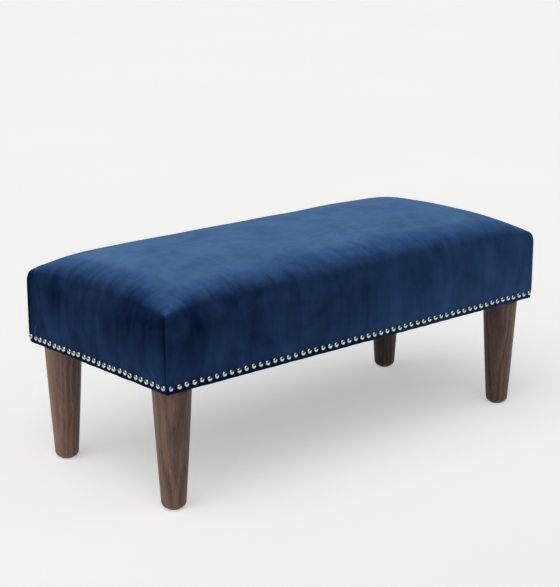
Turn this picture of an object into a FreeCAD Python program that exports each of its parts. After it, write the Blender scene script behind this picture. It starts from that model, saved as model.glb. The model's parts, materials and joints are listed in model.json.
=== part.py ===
"""Upholstered bench: a webbed timber frame on four turned legs, with a crowned, nailed velvet seat.

Frame: millimetres, +Z up, X along the length, -Y the front; the origin is on the floor under the centre.
"""

import FreeCAD
import Part
import math
import os

from FreeCAD import Vector

# Overall sizes
length = 1000.0
width = 446.0
leg_height = 240.0
side_height = 145.5
crown_rise = 45.0

# Seat form: how far the crown rolls in from each side, and how full the roll is
side_roll = 223.0
side_roll_power = 3.02
side_roll_lift = 0.596
end_roll = 400.0
end_roll_power = 7.5
end_roll_lift = 0.788
corner_radius = 6.0
crown_corner_radius = 112.0
crown_levels = (0.0, 0.06, 0.16, 0.3, 0.46, 0.62, 0.78, 0.9, 0.965, 0.99)

# Cover
cover_thickness = 1.5
hem_width = 22.0
hem_fold_radius = 2.5
nail_band_height = 24.0
nail_band_inset = 2.5
flare_height = 16.0
pleat_width = 1.6
pleat_depth = 0.8
pleat_offset = 6.0

# Padding
wadding_crown_thickness = 6.0
wadding_start = 5.0
platform_thickness = 0.8
platform_margin = 12.0

# Timber frame
rail_height = 70.0
rail_thickness = 22.0
centre_rail_height = 40.0
block_height = 45.0
block_reach = 88.0
block_end = 16.0
dowel_diameter = 10.0
dowel_length = 50.0
dowel_in_side_rail = 17.0
dowel_edge = 18.0

# Webbing
webbing_width = 50.0
webbing_thickness = 1.6
webbing_set_back = 4.0
weave_gap = 0.1
weave_run = 8.0
cross_webbing_count = 8
long_webbing_count = 3

# Legs and their fixings
leg_inset = 48.0
leg_top_radius = 35.3
leg_foot_radius = 22.8
foot_chamfer = 8.0
foot_chamfer_height = 10.0
bolt_diameter = 8.0
bolt_in_leg = 48.0
bolt_tip = 6.0
bolt_end_above_nut = 1.4
tee_nut_flange_diameter = 22.0
tee_nut_flange_thickness = 1.6
tee_nut_barrel_diameter = 10.0
tee_nut_barrel_length = 10.0
glide_diameter = 27.0
glide_thickness = 3.0
glide_edge = 0.6
glide_nail_diameter = 2.4
glide_nail_length = 16.0

# Block screws
screw_diameter = 4.5
screw_head_diameter = 9.0
screw_head_height = 2.6
screw_length = 34.0
screw_in_rail = 16.0
screw_reach = 64.0

# Dust cover
dust_cover_thickness = 0.6
dust_cover_margin = 9.0

# Decorative nails
nail_head_diameter = 11.0
nail_head_height = 3.6
nail_shoulder_share = 0.72
nail_shoulder_height = 2.2
nail_facets = 8
nail_shank_side = 2.0
nail_shank_length = 14.0
nail_line_height = 11.0
nail_end_margin = 9.0
nail_pitch_sides = 17.5
nail_pitch_ends = 16.5

# Clearances
drive_fit = 0.05
bolt_hole_clearance = 0.5

# Levels and places that follow from the sizes above
half_length = length / 2
half_width = width / 2
hem_z = leg_height + dust_cover_thickness
frame_z = hem_z + cover_thickness
rail_top_z = frame_z + rail_height
shoulder_z = hem_z + side_height
band_top_z = hem_z + nail_band_height
wall_z = band_top_z + flare_height
frame_inset = nail_band_inset + cover_thickness
frame_half_length = half_length - frame_inset
frame_half_width = half_width - frame_inset
inner_half_length = frame_half_length - rail_thickness
inner_half_width = frame_half_width - rail_thickness
weave_offset = (webbing_thickness + weave_gap) / 2
weave_mid_z = rail_top_z + webbing_thickness / 2
platform_z = weave_mid_z + weave_offset + webbing_thickness / 2
foam_z = platform_z + platform_thickness
foam_drop = cover_thickness + wadding_crown_thickness
leg_x = half_length - leg_inset
leg_y = half_width - leg_inset
block_top_z = hem_z + block_height

CORNERS = {
    "front_left": (-1, -1),
    "front_right": (1, -1),
    "rear_left": (-1, 1),
    "rear_right": (1, 1),
}
UP = Vector(0, 0, 1)


def save(node, shape):
    """Writes one node of the bench."""
    shape.exportStep(os.path.join("parts", node + ".step"))
    solids = len(shape.Solids)
    print(f"{node}: {solids} solid(s), valid {shape.isValid()}, {shape.Volume / 1000:.2f} cm3")


def box(low, high):
    """A block between two corners."""
    size = Vector(*high) - Vector(*low)
    return Part.makeBox(size.x, size.y, size.z, Vector(*low))


def rod(diameter, start, end):
    """A round bar from one point to another."""
    axis = end - start
    return Part.makeCylinder(diameter / 2, axis.Length, start, axis)


def turned(profile, start, direction=UP):
    """A turned piece from (radius, distance) corner points, its axis along direction from start."""
    points = [Vector(radius, 0, distance) for radius, distance in profile]
    face = Part.Face(Part.makePolygon(points + points[:1]))
    solid = face.revolve(Vector(0, 0, 0), UP, 360)
    solid.Placement = FreeCAD.Placement(start, FreeCAD.Rotation(UP, direction))
    return solid


def faceted(rings):
    """A solid with flat faces through rings of points along its axis; a ring of one point is a tip."""
    faces = []
    for ring, following in zip(rings, rings[1:]):
        count = max(len(ring), len(following))
        for place in range(count):
            later = (place + 1) % count
            corners = [ring[place % len(ring)], ring[later % len(ring)]]
            corners += [following[later % len(following)], following[place % len(following)]]
            corners = [corner for index, corner in enumerate(corners) if corner != corners[index - 1]]
            faces.append(Part.Face(Part.makePolygon(corners + corners[:1])))
    for ring in (rings[0], rings[-1]):
        if len(ring) > 1:
            faces.append(Part.Face(Part.makePolygon(ring + ring[:1])))
    return Part.makeSolid(Part.Shell(faces))


def rounded_rectangle(half_x, half_y, radius, z):
    """A closed wire of four lines and four quarter arcs, level at z."""
    edges = []
    diagonal = radius * math.sqrt(0.5)
    for sign_x, sign_y in ((1, 1), (-1, 1), (-1, -1), (1, -1)):
        centre = Vector(sign_x * (half_x - radius), sign_y * (half_y - radius), z)
        on_x = centre + Vector(sign_x * radius, 0, 0)
        on_y = centre + Vector(0, sign_y * radius, 0)
        middle = centre + Vector(sign_x * diagonal, sign_y * diagonal, 0)
        first, last = (on_x, on_y) if sign_x == sign_y else (on_y, on_x)
        edges.append(Part.Arc(first, middle, last).toShape())
    lines = []
    for arc, following in zip(edges, edges[1:] + edges[:1]):
        lines.append(Part.makeLine(arc.lastVertex().Point, following.firstVertex().Point))
    return Part.Wire([edge for pair in zip(edges, lines) for edge in pair])


def prism(half_x, half_y, low_z, high_z):
    """A block between two levels, with the bench's rounded upright corners."""
    face = Part.Face(rounded_rectangle(half_x, half_y, corner_radius, low_z))
    return face.extrude(Vector(0, 0, high_z - low_z))


def crown_section(half_x, half_y, level, base_z):
    """The seat's outline at one level of its crown, from 0 at the shoulder to 1 at the top."""
    side_inset = side_roll * (1 - (1 - level ** (1 / side_roll_lift)) ** (1 / side_roll_power))
    end_inset = end_roll * (1 - (1 - level ** (1 / end_roll_lift)) ** (1 / end_roll_power))
    section_x = half_x - end_inset
    section_y = half_y - side_inset
    section_radius = corner_radius + (crown_corner_radius - corner_radius) * math.sqrt(level)
    section_radius = min(section_radius, 0.9 * section_y)
    z = base_z + crown_rise * level / crown_levels[-1]
    return rounded_rectangle(section_x, section_y, section_radius, z)


def seat_form(inset, drop, low_z):
    """The crowned seat block, taken in by inset at its sides and lowered by drop at its top."""
    half_x = half_length - inset
    half_y = half_width - inset
    top_z = shoulder_z - drop
    wall = prism(half_x, half_y, low_z, top_z)
    sections = [crown_section(half_x, half_y, level, top_z) for level in crown_levels]
    return wall.fuse(Part.makeLoft(sections, True, True))


def cover_envelope(inset, low_z):
    """The cover's form from its hem up: the drawn-in nail band, the flare above it and the seat."""
    band_x = half_length - nail_band_inset - inset
    band_y = half_width - nail_band_inset - inset
    band = prism(band_x, band_y, low_z, band_top_z)
    low_outline = rounded_rectangle(band_x, band_y, corner_radius, band_top_z)
    high_outline = rounded_rectangle(half_length - inset, half_width - inset, corner_radius, wall_z)
    flare = Part.makeLoft([low_outline, high_outline], True, True)
    return band, flare.fuse(seat_form(inset, inset, wall_z))


def nail():
    """A decorative nail whose head rests on the plane y = 0 and whose shank points along +Y."""
    rings = []
    rim = nail_head_diameter / 2
    for radius, y in ((rim, 0.0), (rim * nail_shoulder_share, -nail_shoulder_height)):
        turns = [2 * math.pi * (step + 0.5) / nail_facets for step in range(nail_facets)]
        rings.append([Vector(radius * math.cos(turn), y, radius * math.sin(turn)) for turn in turns])
    rings.append([Vector(0, -nail_head_height, 0)])
    return faceted(rings).fuse(nail_shank(0.0))


def nail_shank(clearance):
    """The nail's square shank, tapered to its tip, or with a clearance the hole that it makes."""
    half = nail_shank_side / 2 + clearance
    corners = [Vector(x * half, 0, z * half) for x, z in ((-1, -1), (1, -1), (1, 1), (-1, 1))]
    return faceted([corners, [Vector(0, nail_shank_length + clearance, 0)]])


def nail_places():
    """For each side: its turn about Z in degrees, and where its nails stand on the nail band."""
    band_x = half_length - nail_band_inset
    band_y = half_width - nail_band_inset
    z = hem_z + nail_line_height
    along = even_places(half_length - nail_end_margin, nail_pitch_sides)
    across = even_places(half_width - nail_end_margin, nail_pitch_ends)
    return {
        "front": (0, [Vector(x, -band_y, z) for x in along]),
        "rear": (180, [Vector(x, band_y, z) for x in along]),
        "left": (270, [Vector(-band_x, y, z) for y in across]),
        "right": (90, [Vector(band_x, y, z) for y in across]),
    }


def even_places(half_span, pitch):
    """Evenly spaced places from -half_span to half_span, as near to pitch as they divide."""
    steps = max(1, round(2 * half_span / pitch))
    return [half_span * (2 * step / steps - 1) for step in range(steps + 1)]


def shared_places(half_span, count):
    """The middles of count equal shares of the span from -half_span to half_span."""
    return [half_span * ((2 * share + 1) / count - 1) for share in range(count)]


def placed(shape, turn, place):
    """A copy turned about Z and moved to a place."""
    copy = shape.copy()
    copy.rotate(Vector(0, 0, 0), UP, turn)
    copy.translate(place)
    return copy


def nails_and_holes():
    """The nails of each side, and the holes they make, as compounds."""
    one_nail = nail()
    one_hole = nail_shank(drive_fit)
    nails = {}
    holes = {}
    for side, (turn, places) in nail_places().items():
        nails[side] = Part.makeCompound([placed(one_nail, turn, place) for place in places])
        holes[side] = Part.makeCompound([placed(one_hole, turn, place) for place in places])
    return nails, holes


def velvet_cover(holes):
    """The cover: one cloth over the seat, folded at the corners, drawn in and turned under the rails."""
    band, seat = cover_envelope(0.0, hem_z)
    hem_edges = [edge for edge in band.Edges if edge.BoundBox.ZMax < hem_z + hem_fold_radius / 2]
    outside = band.makeFillet(hem_fold_radius, hem_edges).fuse(seat)
    inner_band, inner_seat = cover_envelope(cover_thickness, frame_z)
    opening = box(
        (-half_length + hem_width, -half_width + hem_width, hem_z - 1),
        (half_length - hem_width, half_width - hem_width, frame_z + 1),
    )
    cloth = outside.cut([inner_band, inner_seat, opening])
    return cloth.cut([*corner_pleats(), *holes.values()])


def corner_pleats():
    """The shadow line beside each upright corner, where the end's cloth tucks under the long side's."""
    cuts = []
    for sign_x, sign_y in CORNERS.values():
        x = sign_x * half_length
        y = sign_y * (half_width - pleat_offset)
        deep = x - sign_x * pleat_depth
        outer = [Vector(x, y + side * pleat_width / 2, wall_z) for side in (-1, 1)]
        corners = [*outer, Vector(deep, y, wall_z)]
        groove = Part.Face(Part.makePolygon(corners + corners[:1]))
        cuts.append(groove.extrude(Vector(0, 0, shoulder_z - wall_z)))
    return cuts


def seat_wadding():
    """The soft layer under the cover: over the foam, down the rails and feathered out above the nails."""
    low_z = band_top_z + wadding_start
    inner_band, inner_seat = cover_envelope(cover_thickness, frame_z)
    below = box((-length, -width, 0), (length, width, low_z))
    return inner_seat.cut([below, seat_form(frame_inset, foam_drop, hem_z)])


def strap(start, end, crossings, first_over):
    """A webbing strap along X, woven over and under the straps that cross it."""
    middle = [(start, 0.0)]
    over = first_over
    for crossing in crossings:
        offset = weave_offset if over else -weave_offset
        half = webbing_width / 2 + weave_gap
        middle += [(crossing - half - weave_run, 0.0), (crossing - half, offset)]
        middle += [(crossing + half, offset), (crossing + half + weave_run, 0.0)]
        over = not over
    middle.append((end, 0.0))
    half = webbing_thickness / 2
    upper = [Vector(x, -webbing_width / 2, weave_mid_z + offset + half) for x, offset in middle]
    lower = [Vector(x, -webbing_width / 2, weave_mid_z + offset - half) for x, offset in reversed(middle)]
    face = Part.Face(Part.makePolygon(upper + lower + upper[:1]))
    return face.extrude(Vector(0, webbing_width, 0))


def webbing():
    """The seat's straps by node name, woven in a plain weave and lapped on the rails."""
    cross_places = shared_places(inner_half_length, cross_webbing_count)
    long_places = shared_places(inner_half_width, long_webbing_count)
    straps = {}
    for row, y in enumerate(long_places):
        reach = frame_half_length - webbing_set_back
        one = strap(-reach, reach, cross_places, row % 2 == 0)
        straps[f"long_webbing_{row + 1}"] = placed(one, 0, Vector(0, y, 0))
    for row, x in enumerate(cross_places):
        reach = frame_half_width - webbing_set_back
        one = strap(-reach, reach, long_places, row % 2 == 1)
        straps[f"cross_webbing_{row + 1}"] = placed(one, 90, Vector(x, 0, 0))
    return straps


def dowel_axes():
    """Each dowel's start, in a side rail, and its direction along Y into the piece that it holds."""
    corner_x = frame_half_length - rail_thickness / 2
    low = frame_z + dowel_edge
    heights = {
        -corner_x: (low, rail_top_z - dowel_edge),
        corner_x: (low, rail_top_z - dowel_edge),
        0.0: (frame_z + centre_rail_height / 2,),
    }
    axes = []
    for x, levels in heights.items():
        for z in levels:
            for side in (-1, 1):
                start = Vector(x, side * (inner_half_width + dowel_in_side_rail), z)
                axes.append((start, Vector(0, -side, 0)))
    return axes


def dowels(clearance):
    """The frame's dowels, or with a clearance the holes for them."""
    pegs = []
    diameter = dowel_diameter + 2 * clearance
    for start, direction in dowel_axes():
        end = start + direction * (dowel_length + clearance)
        pegs.append(rod(diameter, start - direction * clearance, end))
    return pegs


def block_screw_axes():
    """Where each block screw's head seats, and its direction: into the side rail or the end rail."""
    axes = []
    under_head = screw_length - screw_in_rail
    z = (frame_z + block_top_z) / 2
    for sign_x, sign_y in CORNERS.values():
        x = sign_x * (inner_half_length - screw_reach)
        y = sign_y * (inner_half_width - under_head)
        axes.append((Vector(x, y, z), Vector(0, sign_y, 0)))
        x = sign_x * (inner_half_length - under_head)
        y = sign_y * (inner_half_width - screw_reach)
        axes.append((Vector(x, y, z), Vector(sign_x, 0, 0)))
    return axes


def block_screws(clearance):
    """The pan-head screws of the corner blocks, or with a clearance the holes for them."""
    shank = screw_diameter / 2 + clearance
    head = screw_head_diameter / 2 + clearance
    end = screw_length + clearance
    profile = [(0, -screw_head_height), (head, -screw_head_height), (head, 0)]
    profile += [(shank, 0), (shank, end), (0, end)]
    return [turned(profile, seat, direction) for seat, direction in block_screw_axes()]


def screw_counterbores():
    """The clear way for each block screw's head from the block's open face."""
    diameter = screw_head_diameter + 2 * drive_fit
    return [rod(diameter, seat, seat - direction * block_reach) for seat, direction in block_screw_axes()]


def corner_block(sign_x, sign_y):
    """A block glued in a corner of the frame; it stands proud of the rails by the hem's thickness."""
    corner = Vector(sign_x * inner_half_length, sign_y * inner_half_width, hem_z)
    outline = [(0, 0), (block_reach, 0), (block_reach, block_end), (block_end, block_reach), (0, block_reach)]
    points = [corner + Vector(-sign_x * along, -sign_y * across, 0) for along, across in outline]
    solid = Part.Face(Part.makePolygon(points + points[:1])).extrude(Vector(0, 0, block_height))
    centre = Vector(sign_x * leg_x, sign_y * leg_y, 0)
    bore = rod(tee_nut_barrel_diameter + 2 * drive_fit, centre, centre + UP * (block_top_z + 1))
    return solid.cut([bore, *block_screws(drive_fit), *screw_counterbores()])


def frame_rails(holes):
    """The five rails by node name, bored for their dowels, screws and nails."""
    outer_x, outer_y = frame_half_length, frame_half_width
    inner_x, inner_y = inner_half_length, inner_half_width
    low, top = frame_z, rail_top_z
    centre_x = rail_thickness / 2
    blanks = {
        "front_rail": box((-outer_x, -outer_y, low), (outer_x, -inner_y, top)),
        "rear_rail": box((-outer_x, inner_y, low), (outer_x, outer_y, top)),
        "left_end_rail": box((-outer_x, -inner_y, low), (-inner_x, inner_y, top)),
        "right_end_rail": box((inner_x, -inner_y, low), (outer_x, inner_y, top)),
        "centre_rail": box((-centre_x, -inner_y, low), (centre_x, inner_y, low + centre_rail_height)),
    }
    outline = prism(outer_x, outer_y, low, top)
    borings = [*dowels(drive_fit), *block_screws(drive_fit), *holes.values()]
    return {node: blank.common(outline).cut(borings) for node, blank in blanks.items()}


def leg(centre):
    """A turned leg: a straight taper, chamfered at the foot and bored for its fixings."""
    foot_z = glide_thickness
    knee_z = foot_z + foot_chamfer_height
    profile = [(0, foot_z), (leg_foot_radius - foot_chamfer, foot_z), (leg_foot_radius, knee_z)]
    profile += [(leg_top_radius, leg_height), (0, leg_height)]
    nail_end = centre + UP * (foot_z + glide_nail_length + drive_fit)
    nail_hole = rod(glide_nail_diameter + 2 * drive_fit, centre, nail_end)
    return turned(profile, centre).cut([hanger_bolt(centre, drive_fit), nail_hole])


def hanger_bolt(centre, clearance):
    """A bolt with its pointed end in the leg and its plain end in the tee nut, or the hole for it."""
    radius = bolt_diameter / 2 + clearance
    low = leg_height - bolt_in_leg - clearance
    high = block_top_z + tee_nut_flange_thickness + bolt_end_above_nut
    return turned([(0, low), (radius, low + bolt_tip), (radius, high), (0, high)], centre)


def tee_nut(centre):
    """A tee nut pressed into the top of a corner block."""
    bore = bolt_diameter / 2 + drive_fit
    barrel = tee_nut_barrel_diameter / 2
    flange = tee_nut_flange_diameter / 2
    low = block_top_z - tee_nut_barrel_length
    top = block_top_z + tee_nut_flange_thickness
    profile = [(bore, low), (barrel, low), (barrel, block_top_z)]
    profile += [(flange, block_top_z), (flange, top), (bore, top)]
    return turned(profile, centre)


def glide(centre):
    """A nail-on glide under a leg, which the bench stands on."""
    radius = glide_diameter / 2
    pin = glide_nail_diameter / 2
    tip = glide_thickness + glide_nail_length
    profile = [(0, 0), (radius - glide_edge, 0), (radius, glide_edge), (radius, glide_thickness)]
    profile += [(pin, glide_thickness), (pin, tip - pin), (0, tip)]
    return turned(profile, centre)


def dust_cover():
    """The cloth that closes the underside, between the frame and the legs."""
    reach_x = half_length - dust_cover_margin
    reach_y = half_width - dust_cover_margin
    sheet = box((-reach_x, -reach_y, leg_height), (reach_x, reach_y, hem_z))
    hole = bolt_diameter + 2 * bolt_hole_clearance
    for sign_x, sign_y in CORNERS.values():
        centre = Vector(sign_x * leg_x, sign_y * leg_y, leg_height - 1)
        sheet = sheet.cut(rod(hole, centre, centre + UP * (dust_cover_thickness + 2)))
    return sheet


def platform_cloth():
    """The cloth over the webbing that carries the foam."""
    reach_x = frame_half_length - platform_margin
    reach_y = frame_half_width - platform_margin
    return box((-reach_x, -reach_y, platform_z), (reach_x, reach_y, foam_z))


def build():
    """Makes every node and writes it."""
    os.makedirs("parts", exist_ok=True)
    nails, holes = nails_and_holes()
    leg_places = {corner: Vector(sx * leg_x, sy * leg_y, 0) for corner, (sx, sy) in CORNERS.items()}

    for node, shape in frame_rails(holes).items():
        save(node, shape)
    for corner, (sign_x, sign_y) in CORNERS.items():
        save(f"corner_block_{corner}", corner_block(sign_x, sign_y))
        save(f"leg_{corner}", leg(leg_places[corner]))
    save("glides", Part.makeCompound([glide(place) for place in leg_places.values()]))
    save("frame_dowels", Part.makeCompound(dowels(0.0)))
    save("block_screws", Part.makeCompound(block_screws(0.0)))
    save("hanger_bolts", Part.makeCompound([hanger_bolt(place, 0.0) for place in leg_places.values()]))
    save("tee_nuts", Part.makeCompound([tee_nut(place) for place in leg_places.values()]))

    for node, shape in webbing().items():
        save(node, shape)
    save("platform_cloth", platform_cloth())
    save("seat_foam", seat_form(frame_inset, foam_drop, foam_z).removeSplitter())
    save("seat_wadding", seat_wadding().removeSplitter())
    save("velvet_cover", velvet_cover(holes))
    for side, row in nails.items():
        save(f"nails_{side}", row)
    save("dust_cover", dust_cover())


build()
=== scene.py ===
import json
import math
from functools import partial

import bpy
import numpy as np
from bpy.props import FloatProperty, FloatVectorProperty, IntProperty, PointerProperty
from bpy.types import Operator, Panel, PropertyGroup
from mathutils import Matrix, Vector
from mathutils.bvhtree import BVHTree
from mathutils.interpolate import poly_3d_calc


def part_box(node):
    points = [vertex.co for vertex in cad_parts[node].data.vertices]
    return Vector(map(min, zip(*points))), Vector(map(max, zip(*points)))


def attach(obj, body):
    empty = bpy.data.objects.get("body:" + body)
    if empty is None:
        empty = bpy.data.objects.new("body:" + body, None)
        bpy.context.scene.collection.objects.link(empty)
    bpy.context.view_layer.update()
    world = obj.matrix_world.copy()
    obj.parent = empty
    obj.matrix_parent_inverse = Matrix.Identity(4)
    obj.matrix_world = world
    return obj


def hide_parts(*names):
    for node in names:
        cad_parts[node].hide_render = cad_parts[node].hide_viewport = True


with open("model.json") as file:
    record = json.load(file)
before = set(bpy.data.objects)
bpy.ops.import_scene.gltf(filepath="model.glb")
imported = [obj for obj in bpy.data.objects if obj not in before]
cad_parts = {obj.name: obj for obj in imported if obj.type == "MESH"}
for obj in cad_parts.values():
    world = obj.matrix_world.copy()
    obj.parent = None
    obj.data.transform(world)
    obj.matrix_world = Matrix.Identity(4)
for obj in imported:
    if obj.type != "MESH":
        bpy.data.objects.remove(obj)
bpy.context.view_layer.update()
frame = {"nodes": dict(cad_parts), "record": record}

bl_info = {
    "name": "Upholstered bench",
    "version": (1, 0, 0),
    "blender": (4, 5, 0),
    "location": "View3D > Sidebar > Bench",
    "description": "Dresses the packed frame of a nailed velvet bench",
    "category": "Object",
}

COVER_LOW, COVER_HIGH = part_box("velvet_cover")
FOAM_LOW, FOAM_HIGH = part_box("seat_foam")
WADDING_LOW, WADDING_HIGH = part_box("seat_wadding")
PLATFORM_LOW, PLATFORM_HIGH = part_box("platform_cloth")
DUST_LOW, DUST_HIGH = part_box("dust_cover")
LEG_LOW, LEG_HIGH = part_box("leg_front_left")
RAIL_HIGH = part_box("left_end_rail")[1]

BODY = "root"

# Each leg's tone and painted light: its tone (partly the wood's own, partly painted light and shade, lowest
# on the rear right leg under the seat), how much lighter its side towards the lights is painted, and that
# side's turn from +X in degrees
LEG_TONE_AND_PAINTED_LIGHT = {
    "front_left": (0.12, 0.08, 138.0),
    "front_right": (0.04, 0.14, -42.0),
    "rear_left": (0.19, 0.25, 138.0),
    "rear_right": (-0.11, 0.06, -42.0),
}

# Studio lights: turn from the camera's side towards its left, height and reach in degrees, and strength
LIGHTS = {
    "key": (16.0, 50.0, 44.0, 1.48),
    "left_fill": (84.0, 63.0, 24.0, 0.80),
    "right_fill": (-88.0, 64.0, 25.0, 0.56),
    "rim": (148.0, 9.0, 30.0, 0.90),
}
# Share of a light's reach over which it is at its full strength
LIGHT_CORE = 0.45

# Spacing of the cover's and the padding's grids: at the edges, its growth inwards, and the widest
COVER_GRID = {"first": 0.0008, "growth": 1.10, "widest": 0.0072}
PAD_GRID = {"first": 0.002, "growth": 1.25, "widest": 0.02}

# How the cover's cloth behaves when the padding presses it out
CLOTH = {
    "quality": 5,
    "tension_stiffness": 80.0,
    "compression_stiffness": 80.0,
    "shear_stiffness": 40.0,
    "bending_stiffness": 5.0,
    "air_damping": 4.0,
}


# Settings


def length_setting(name, description, default):
    """A size in metres that the sidebar shows."""
    return FloatProperty(name=name, description=description, default=default, unit="LENGTH", precision=4)


def colour_setting(name, description, default):
    """A colour in linear light that the sidebar shows."""
    return FloatVectorProperty(name=name, description=description, default=default, subtype="COLOR", size=3)


def angle_setting(name, description, default):
    """An angle in radians, which the sidebar shows in degrees."""
    return FloatProperty(name=name, description=description, default=default, subtype="ANGLE")


def count_setting(name, description, default, least=1):
    """A number of like things that the sidebar shows."""
    return IntProperty(name=name, description=description, default=default, min=least)


class SeatSettings(PropertyGroup):
    """The padded seat and its cover."""

    half_length: length_setting("Half length", "From the middle to an end of the cover", COVER_HIGH.x)
    half_width: length_setting("Half width", "From the middle to a long side of the cover", COVER_HIGH.y)
    hem_z: length_setting("Hem height", "Underside of the cover above the floor", COVER_LOW.z)
    top_z: length_setting("Crown height", "Highest point of the cover above the floor", COVER_HIGH.z)
    crown_rise: length_setting("Crown rise", "Crown above the shoulder line", 0.045)
    corner_radius: length_setting("Corner radius", "Rounding of the upright corners", 0.0035)
    corner_ease: length_setting("Corner ease", "Rounding at the top of the corners", 0.0064)
    corner_sink: length_setting("Corner sink", "How far the top's corners lie below the shoulder", 0.0020)
    shoulder_lean: length_setting("Shoulder lean", "How far the walls lean in under the crown", 0.0064)
    shoulder_depth: length_setting("Shoulder depth", "How far down the walls the lean reaches", 0.036)
    cloth_thickness: length_setting("Cloth thickness", "Velvet with its backing", 0.0012)
    nail_draw: length_setting("Nail draw", "How far the nail line is drawn in", 0.0020)
    hem_width: length_setting("Hem width", "Cloth turned under the rails", 0.022)
    hem_droop: length_setting("Hem droop", "How far the cloth's edge bellies below the rails", 0.0018)
    fold_offset: length_setting("Fold offset", "Corner fold's edge from the corner, on the ends", 0.0022)
    fold_depth: length_setting("Fold depth", "Depth of the tuck beside a corner fold", 0.0034)
    unevenness: length_setting("Unevenness", "Slow swell and hollow of the padding", 0.0007)
    sheet_spacing: length_setting("Sheet spacing", "Mesh of the sheet that is pressed out", 0.0087)
    swell_limit: length_setting("Swell limit", "Furthest that the padding presses the cloth", 0.0032)
    pressure: FloatProperty(name="Pressure", description="How hard the padding presses", default=0.25)
    frames: count_setting("Frames", "Frames of the cloth simulation", 20, least=2)


class NailSettings(PropertyGroup):
    """The row of domed nails along the lower edge."""

    side_count: count_setting("Nails on a side", "Nails along a long side", 57, least=2)
    end_count: count_setting("Nails on an end", "Nails along an end", 27, least=2)
    head_radius: length_setting("Head radius", "Radius of a nail head", 0.0055)
    head_height: length_setting("Head height", "Height of a domed head", 0.0036)
    shank_length: length_setting("Shank length", "Length of a nail below its head", 0.013)
    line_height: length_setting("Line height", "Nail line above the hem", 0.011)
    end_margin: length_setting("End margin", "Last nail from the cover's corner", 0.009)
    seating: length_setting("Seating", "How far a head's middle is set into the drawn-in cloth", 0.0004)
    row_shift: length_setting("Row shift", "How far along a hand-set row stands from its place", 0.003)
    wander: length_setting("Wander", "How far a hand-set nail strays from its place", 0.0008)
    tilt: angle_setting("Tilt", "Largest lean of a hand-set nail", 0.08)
    lift: angle_setting("Lift", "How far the nails look up", 0.25)


class LegSettings(PropertyGroup):
    """The turned legs."""

    top_radius: length_setting("Top radius", "Radius under the seat", (LEG_HIGH.x - LEG_LOW.x) / 2 + 0.0019)
    foot_radius: length_setting("Foot radius", "Radius above the foot's rounding", 0.0238)
    sole_radius: length_setting("Sole radius", "Radius of the flat sole", 0.0160)
    sole_ease: length_setting("Sole ease", "Softening of the sole's edge", 0.0016)
    chamfer_height: length_setting("Rounding height", "Height of the foot's rounding", 0.011)
    swell: length_setting("Swell", "Slight fullness halfway up the taper", 0.0005)


class UndersideSettings(PropertyGroup):
    """The webbing, the dust cover and its staples."""

    cross_straps: count_setting("Cross straps", "Straps from front to rear", 8)
    long_straps: count_setting("Long straps", "Straps from end to end", 3)
    strap_width: length_setting("Strap width", "Width of the webbing", 0.050)
    strap_thickness: length_setting("Strap thickness", "Thickness of the webbing", 0.0016)
    dust_sag: length_setting("Dust cover sag", "How far the dust cover hangs in its middle", 0.003)
    staple_width: length_setting("Staple width", "Crown of a staple", 0.010)
    staple_wire: length_setting("Staple wire", "Thickness of the staple wire", 0.0009)
    staple_pitch: length_setting("Staple pitch", "Distance between staples", 0.072)
    staple_inset: length_setting("Staple inset", "Staples from the dust cover's edge", 0.007)
    staple_margin: length_setting("Staple margin", "First staple from the end of its row", 0.07)


class FinishSettings(PropertyGroup):
    """Colours of the bench's finishes, in linear light."""

    # Painted shade: the walls' colours, darker than the top's as the light falls from above, with the pile's
    # own patterns
    shaded_wall_deep: colour_setting("Hanging pile, deep", "Stroked down the walls", (0.0012, 0.0085, 0.031))
    shaded_wall_pale: colour_setting("Hanging pile, light", "Stroked up the walls", (0.0260, 0.0680, 0.165))
    # Painted light: the top's colours, lit from above, partly also the pile lying flat
    lit_top_deep: colour_setting("Lying pile, deep", "Stroked one way on the top", (0.0720, 0.1740, 0.370))
    lit_top_pale: colour_setting("Lying pile, light", "Stroked the other way on it", (0.1400, 0.2920, 0.565))
    # Painted half-light: the shoulder's colours between the lit top and the shaded walls, under its wisps
    half_lit_shoulder_deep: colour_setting("Turning pile, deep", "Wisps at the shoulder", (0.0160, 0.0700, 0.290))
    half_lit_shoulder_pale: colour_setting("Turning pile, light", "Between the wisps", (0.0340, 0.1150, 0.450))
    velvet_sheen: colour_setting("Velvet sheen", "Light on the tips of the pile", (0.16, 0.42, 0.90))
    walnut_dark: colour_setting("Walnut, dark", "Late wood and pores", (0.020, 0.011, 0.008))
    walnut_mid: colour_setting("Walnut, mid", "Stained ground colour", (0.108, 0.062, 0.048))
    walnut_light: colour_setting("Walnut, light", "Early wood", (0.270, 0.158, 0.112))
    nickel: colour_setting("Nickel", "Plating of the nails", (0.68, 0.67, 0.65))


class StageSettings(PropertyGroup):
    """The camera, the floor and the studio light."""

    camera_place: FloatVectorProperty(
        name="Camera place",
        description="Where the camera stands",
        default=(-2.0856, -2.3171, 1.1369),
        unit="LENGTH",
    )
    camera_yaw: angle_setting("Yaw", "Turn from +Y towards +X", 0.7245)
    camera_pitch: angle_setting("Pitch", "Downward tilt", 0.2642)
    camera_lens: FloatProperty(name="Lens", description="Focal length in millimetres", default=95.70)
    floor_reach: length_setting("Floor reach", "From the middle to an edge of the floor", 40.0)
    room_light: FloatProperty(name="Room light", description="Light between the lights", default=0.055)
    # The floor's glow is painted light, lightening the shadows on the floor
    floor_glow: FloatProperty(name="Floor glow", description="Light let through the floor", default=0.40)


SETTINGS = {
    "bench_seat": SeatSettings,
    "bench_nails": NailSettings,
    "bench_legs": LegSettings,
    "bench_underside": UndersideSettings,
    "bench_finish": FinishSettings,
    "bench_stage": StageSettings,
}


# Nodes of materials and geometry trees


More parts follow.
